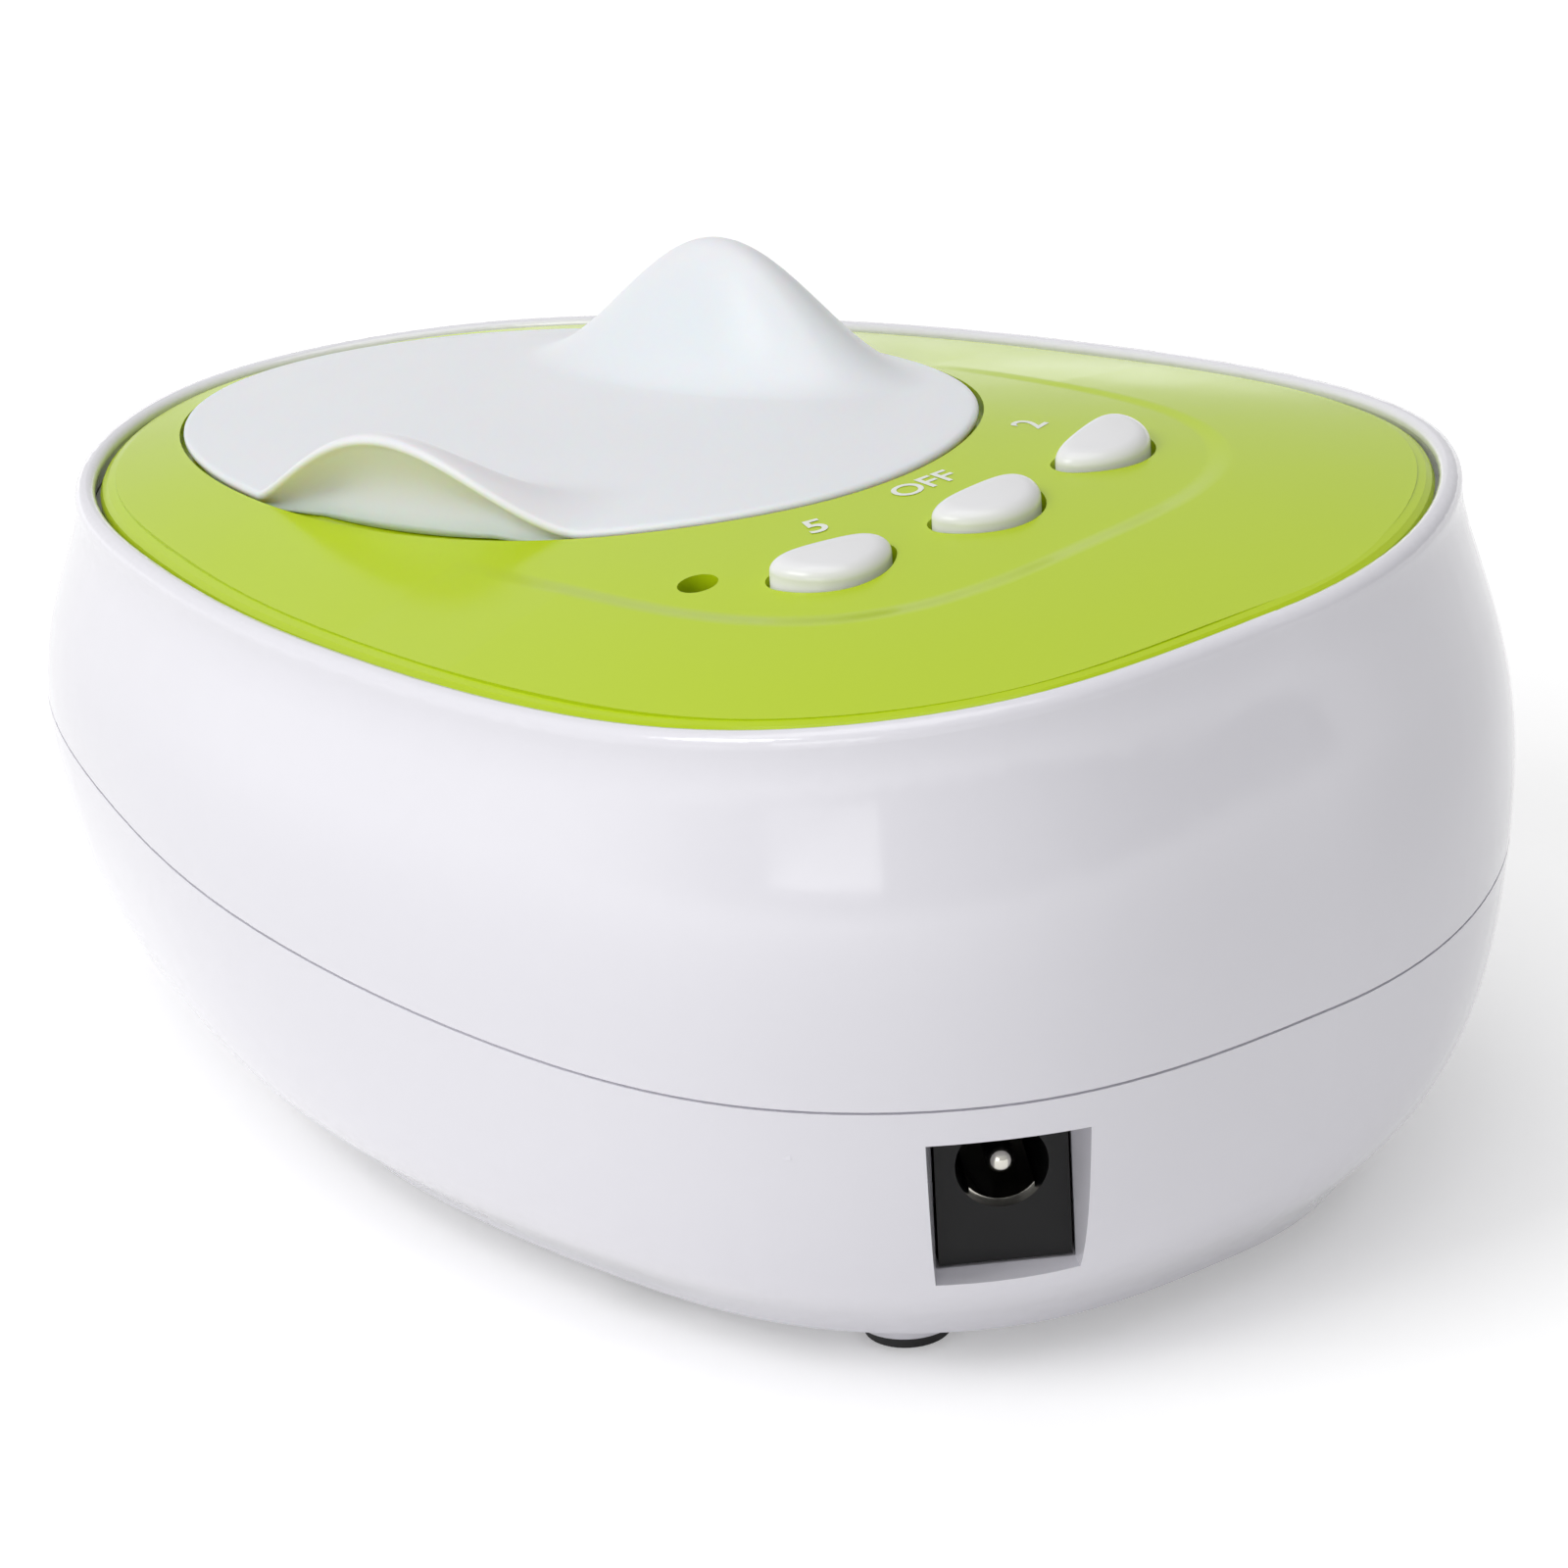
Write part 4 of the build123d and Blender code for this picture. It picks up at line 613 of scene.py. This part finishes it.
# colour, colour that it drifts to, roughness from and to, scale and depth of the grain, and what else it has
PLASTICS = {
    "white_case": ((0.78, 0.77, 0.82), (0.75, 0.74, 0.80), (0.10, 0.16), (1800.0, 2.5e-6),
                   {"marks": 0.04, "Coat_Weight": 0.35, "Coat_Roughness": 0.05, "Coat_IOR": 1.45}),
    "lime_panel": ((0.490, 0.645, 0.006), (0.465, 0.620, 0.005), (0.16, 0.24), (1800.0, 3e-6),
                   {"marks": 0.06, "Specular_IOR_Level": 0.28, "Coat_Weight": 0.08, "Coat_Roughness": 0.12}),
    "satin_lid": ((0.82, 0.81, 0.84), (0.79, 0.78, 0.82), (0.34, 0.42), (2600.0, 6e-6),
                  {"Subsurface_Weight": 0.25, "Subsurface_Scale": 0.004}),
    "white_button": ((0.82, 0.82, 0.83), (0.78, 0.78, 0.80), (0.16, 0.24), (2200.0, 3e-6), {}),
    "white_ink": ((0.82, 0.84, 0.78), (0.76, 0.79, 0.70), (0.35, 0.45), (3000.0, 4e-6), {}),
    "frosted_basket": ((0.82, 0.88, 0.92), (0.76, 0.84, 0.90), (0.28, 0.38), (2200.0, 5e-6),
                       {"Transmission_Weight": 0.55, "IOR": 1.49}),
    "black_socket": ((0.004, 0.004, 0.0045), (0.007, 0.007, 0.0075), (0.34, 0.46), (2200.0, 5e-6),
                     {"Specular_IOR_Level": 0.25}),
    "black_epoxy": ((0.018, 0.018, 0.019), (0.035, 0.035, 0.036), (0.50, 0.65), (3200.0, 1.2e-5), {}),
    "black_rubber": ((0.016, 0.016, 0.017), (0.03, 0.03, 0.03), (0.62, 0.80), (1500.0, 2e-5), {}),
    "grey_seal": ((0.13, 0.13, 0.14), (0.09, 0.09, 0.10), (0.55, 0.70), (1500.0, 1.2e-5), {}),
    "cream_nylon": ((0.76, 0.73, 0.62), (0.70, 0.66, 0.54), (0.35, 0.45), (2000.0, 8e-6), {}),
    "ribbon_grey": ((0.52, 0.52, 0.53), (0.42, 0.42, 0.43), (0.40, 0.50), (1200.0, 1e-5), {}),
    "lead_red": ((0.52, 0.02, 0.015), (0.40, 0.015, 0.012), (0.35, 0.45), (2000.0, 6e-6), {}),
    "board_green": ((0.02, 0.12, 0.045), (0.012, 0.085, 0.03), (0.22, 0.36), (700.0, 1.5e-5), {"drift": 0.9}),
    "winding_tape": ((0.62, 0.45, 0.06), (0.50, 0.34, 0.04), (0.25, 0.40), (900.0, 1.5e-5), {"drift": 0.8}),
    "can_sleeve": ((0.02, 0.03, 0.12), (0.015, 0.02, 0.09), (0.22, 0.34), (1500.0, 6e-6), {}),
    "piezo_ceramic": ((0.34, 0.30, 0.22), (0.26, 0.22, 0.16), (0.45, 0.60), (1500.0, 2e-5), {"drift": 0.9}),
    "green_lamp": ((0.002, 0.030, 0.012), (0.0015, 0.022, 0.009), (0.08, 0.16), (1500.0, 2e-6),
                   {"Transmission_Weight": 0.2}),
}

# colour, colour of the lines, roughness from and to, scale and depth of the lines
METALS = {
    "tank_steel": ((0.62, 0.62, 0.63), (0.48, 0.48, 0.50), (0.18, 0.32), (900.0, 6e-6)),
    "screw_steel": ((0.46, 0.46, 0.47), (0.34, 0.34, 0.35), (0.28, 0.42), (1400.0, 8e-6)),
    "hinge_steel": ((0.58, 0.58, 0.59), (0.46, 0.46, 0.47), (0.18, 0.28), (1600.0, 4e-6)),
    "contact_nickel": ((0.68, 0.66, 0.60), (0.56, 0.54, 0.48), (0.12, 0.22), (1600.0, 3e-6)),
    "sink_aluminium": ((0.50, 0.51, 0.53), (0.40, 0.41, 0.43), (0.30, 0.48), (700.0, 1.2e-5)),
    "core_steel": ((0.10, 0.10, 0.11), (0.06, 0.06, 0.065), (0.42, 0.60), (500.0, 2e-5)),
}

MATERIALS = {name: plastic(name, *look, **more) for name, (*look, more) in PLASTICS.items()}
MATERIALS |= {name: metal(name, *look) for name, look in METALS.items()}
add_panel_step(MATERIALS["lime_panel"])

# the nodes of the frame that wear each material
WEARERS = {
    "white_case": ("upper_shell", "lower_shell"),
    "lime_panel": ("top_panel",),
    "satin_lid": ("lid",),
    "white_button": ("button_long", "button_off", "button_short"),
    "frosted_basket": ("lens_holder", "basket_cover_left", "basket_cover_right"),
    "black_socket": ("plunger_long", "plunger_off", "plunger_short", "jack_housing"),
    "black_epoxy": ("switch_bodies", "power_transistor", "control_chip"),
    "black_rubber": ("rubber_feet",),
    "grey_seal": ("tank_gasket",),
    "cream_nylon": ("link_connectors",),
    "ribbon_grey": ("link_cable",),
    "lead_red": ("transducer_leads",),
    "board_green": ("button_board", "main_board"),
    "winding_tape": ("transformer_winding",),
    "can_sleeve": ("capacitors",),
    "piezo_ceramic": ("transducer",),
    "green_lamp": ("indicator_led",),
    "tank_steel": ("tank",),
    "screw_steel": ("button_board_screws", "board_screws", "case_screws"),
    "hinge_steel": ("hinge_pins",),
    "contact_nickel": ("jack_pin", "jack_contact"),
    "sink_aluminium": ("heat_sink",),
    "core_steel": ("transformer_core",),
}


def dress(piece, finish):
    """Gives a piece one material in place of what it had."""
    piece.data.materials.clear()
    piece.data.materials.append(MATERIALS[finish])


for finish, nodes in WEARERS.items():
    for node in nodes:
        dress(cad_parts[node], finish)

dress(make_lid(), "satin_lid")
dress(make_skirt(), "satin_lid")
dress(make_tab_socket(), "satin_lid")
for button, button_turn in BUTTON_TURNS.items():
    dress(make_cap(button, button_turn), "white_button")
for label, (words, middle, label_turn, size) in LABELS.items():
    dress(make_label(label, words, middle, label_turn, size), "white_ink")

# ------------------------------------------------------------------ floor, light and camera
FLOOR_HALF = 4.0
FLOOR_COLOUR = (0.93, 0.93, 0.93)
# glow of the floor to the camera, near the part and far from it, and where the one passes into the other
FLOOR_GLOW = (0.27, 0.9)
FLOOR_REACH = (0.15, 0.8)
# strength of the surround on its bright side and its dim side, as a light and in reflections
LIGHT_LEVEL = (0.60, 0.30)
MIRRORED_LEVEL = (1.0, 0.50)
DIM_SIDE = (0.672, 0.741, 0.0)
# place, target, size and power of each lamp
LAMPS = {
    "key": ((-0.15, -0.78, 0.80), (0, 0, 0.03), (0.55, 0.40), 3.5),
    "top": ((0.0, -0.12, 1.05), (0, 0, 0.03), (0.9, 0.7), 3.1),
    "fill": ((0.45, -0.80, 0.22), (0, 0, 0.05), (0.4, 0.3), 0.8),
}
CAMERA_TURN = math.radians(47.76)
CAMERA_RISE = math.radians(25.47)
CAMERA_ROLL = math.radians(-3.19)
CAMERA_AWAY = 0.5562
CAMERA_TARGET = Vector((0.00705, -0.00056, 0.025))
CAMERA_LENS = 180.0
CAMERA_SENSOR = 36.0
CAMERA_NEAR = 0.01


def vector_node(tree, operation, first):
    """Vector Math node with one input linked."""
    node = tree.nodes.new("ShaderNodeVectorMath")
    node.operation = operation
    tree.links.new(first, node.inputs[0])
    return node


def white_backdrop(name, colour):
    """Pale surface that glows to the camera, in reflections and through clear parts, and more so far from the
    part."""
    material, shader = blank(name, Base_Color=colour, Roughness=0.9, Emission_Color=(1.0, 1.0, 1.0))
    tree = material.node_tree
    path = tree.nodes.new("ShaderNodeLightPath")
    seen = maths(tree, "ADD", path.outputs["Is Camera Ray"], path.outputs["Is Glossy Ray"])
    seen = maths(tree, "ADD", seen, path.outputs["Is Transmission Ray"], clamp=True)
    where = tree.nodes.new("ShaderNodeTexCoord")
    reach = vector_node(tree, "LENGTH", where.outputs["Object"])
    glow = spread(tree, reach.outputs["Value"], *FLOOR_REACH, *FLOOR_GLOW)
    tree.links.new(maths(tree, "MULTIPLY", seen, glow), shader.inputs["Emission Strength"])
    return material


def make_floor():
    """Plain square sheet at the height of the feet, wider than the view."""
    mesh = bpy.data.meshes.new("floor")
    corners = [(x * FLOOR_HALF, y * FLOOR_HALF, 0) for x, y in ((-1, -1), (1, -1), (1, 1), (-1, 1))]
    mesh.from_pydata(corners, [], [(0, 1, 2, 3)])
    floor = bpy.data.objects.new("floor", mesh)
    bpy.context.scene.collection.objects.link(floor)
    mesh.materials.append(white_backdrop("pale_floor", FLOOR_COLOUR))


def area_light(name, place, target, size, power):
    """Soft rectangular lamp that faces its target."""
    lamp = bpy.data.lights.new(name, "AREA")
    lamp.shape = "RECTANGLE"
    lamp.size, lamp.size_y = size
    lamp.energy = power
    holder = bpy.data.objects.new(name, lamp)
    holder.location = place
    holder.rotation_mode = "QUATERNION"
    holder.rotation_quaternion = (Vector(place) - Vector(target)).to_track_quat("Z", "Y")
    bpy.context.scene.collection.objects.link(holder)


def make_world():
    """Pale surround: plain white to the camera and through clear parts, dimmer as a light, between the two in
    reflections, and as both it dims toward the right of the view."""
    world = bpy.data.worlds.new("studio")
    world.use_nodes = True
    tree = world.node_tree
    ground = tree.nodes["Background"]
    path = tree.nodes.new("ShaderNodeLightPath")
    seen = maths(tree, "ADD", path.outputs["Is Camera Ray"], path.outputs["Is Transmission Ray"], clamp=True)
    where = tree.nodes.new("ShaderNodeTexCoord")
    facing = vector_node(tree, "DOT_PRODUCT", where.outputs["Generated"])
    facing.inputs[1].default_value = DIM_SIDE
    side = facing.outputs["Value"]
    lit = spread(tree, side, -1.0, 1.0, *LIGHT_LEVEL)
    mirrored = spread(tree, side, -1.0, 1.0, *MIRRORED_LEVEL)
    lit = spread(tree, path.outputs["Is Glossy Ray"], 0.0, 1.0, lit, mirrored)
    level = spread(tree, seen, 0.0, 1.0, lit, 1.0)
    tree.links.new(level, ground.inputs["Strength"])
    ground.inputs["Color"].default_value = (1.0, 1.0, 1.0, 1.0)
    bpy.context.scene.world = world


def make_camera():
    """Camera at the photograph's angle, a little rolled, with a long lens."""
    level = math.cos(CAMERA_RISE)
    along = Vector((-math.sin(CAMERA_TURN) * level, math.cos(CAMERA_TURN) * level, -math.sin(CAMERA_RISE)))
    right = Vector((math.cos(CAMERA_TURN), math.sin(CAMERA_TURN), 0.0))
    above = right.cross(along)
    rolled_right = right * math.cos(CAMERA_ROLL) + above * math.sin(CAMERA_ROLL)
    rolled_up = above * math.cos(CAMERA_ROLL) - right * math.sin(CAMERA_ROLL)
    lens = bpy.data.cameras.new("camera")
    lens.lens = CAMERA_LENS
    lens.sensor_width = CAMERA_SENSOR
    lens.clip_start = CAMERA_NEAR
    holder = bpy.data.objects.new("camera", lens)
    turn = Matrix((rolled_right, rolled_up, -along)).transposed()
    holder.matrix_world = Matrix.Translation(CAMERA_TARGET - along * CAMERA_AWAY) @ turn.to_4x4()
    bpy.context.scene.collection.objects.link(holder)
    bpy.context.scene.camera = holder


make_floor()
make_world()
for lamp_name, lamp in LAMPS.items():
    area_light(lamp_name, *lamp)
make_camera()

bpy.context.scene.view_settings.view_transform = "Standard"
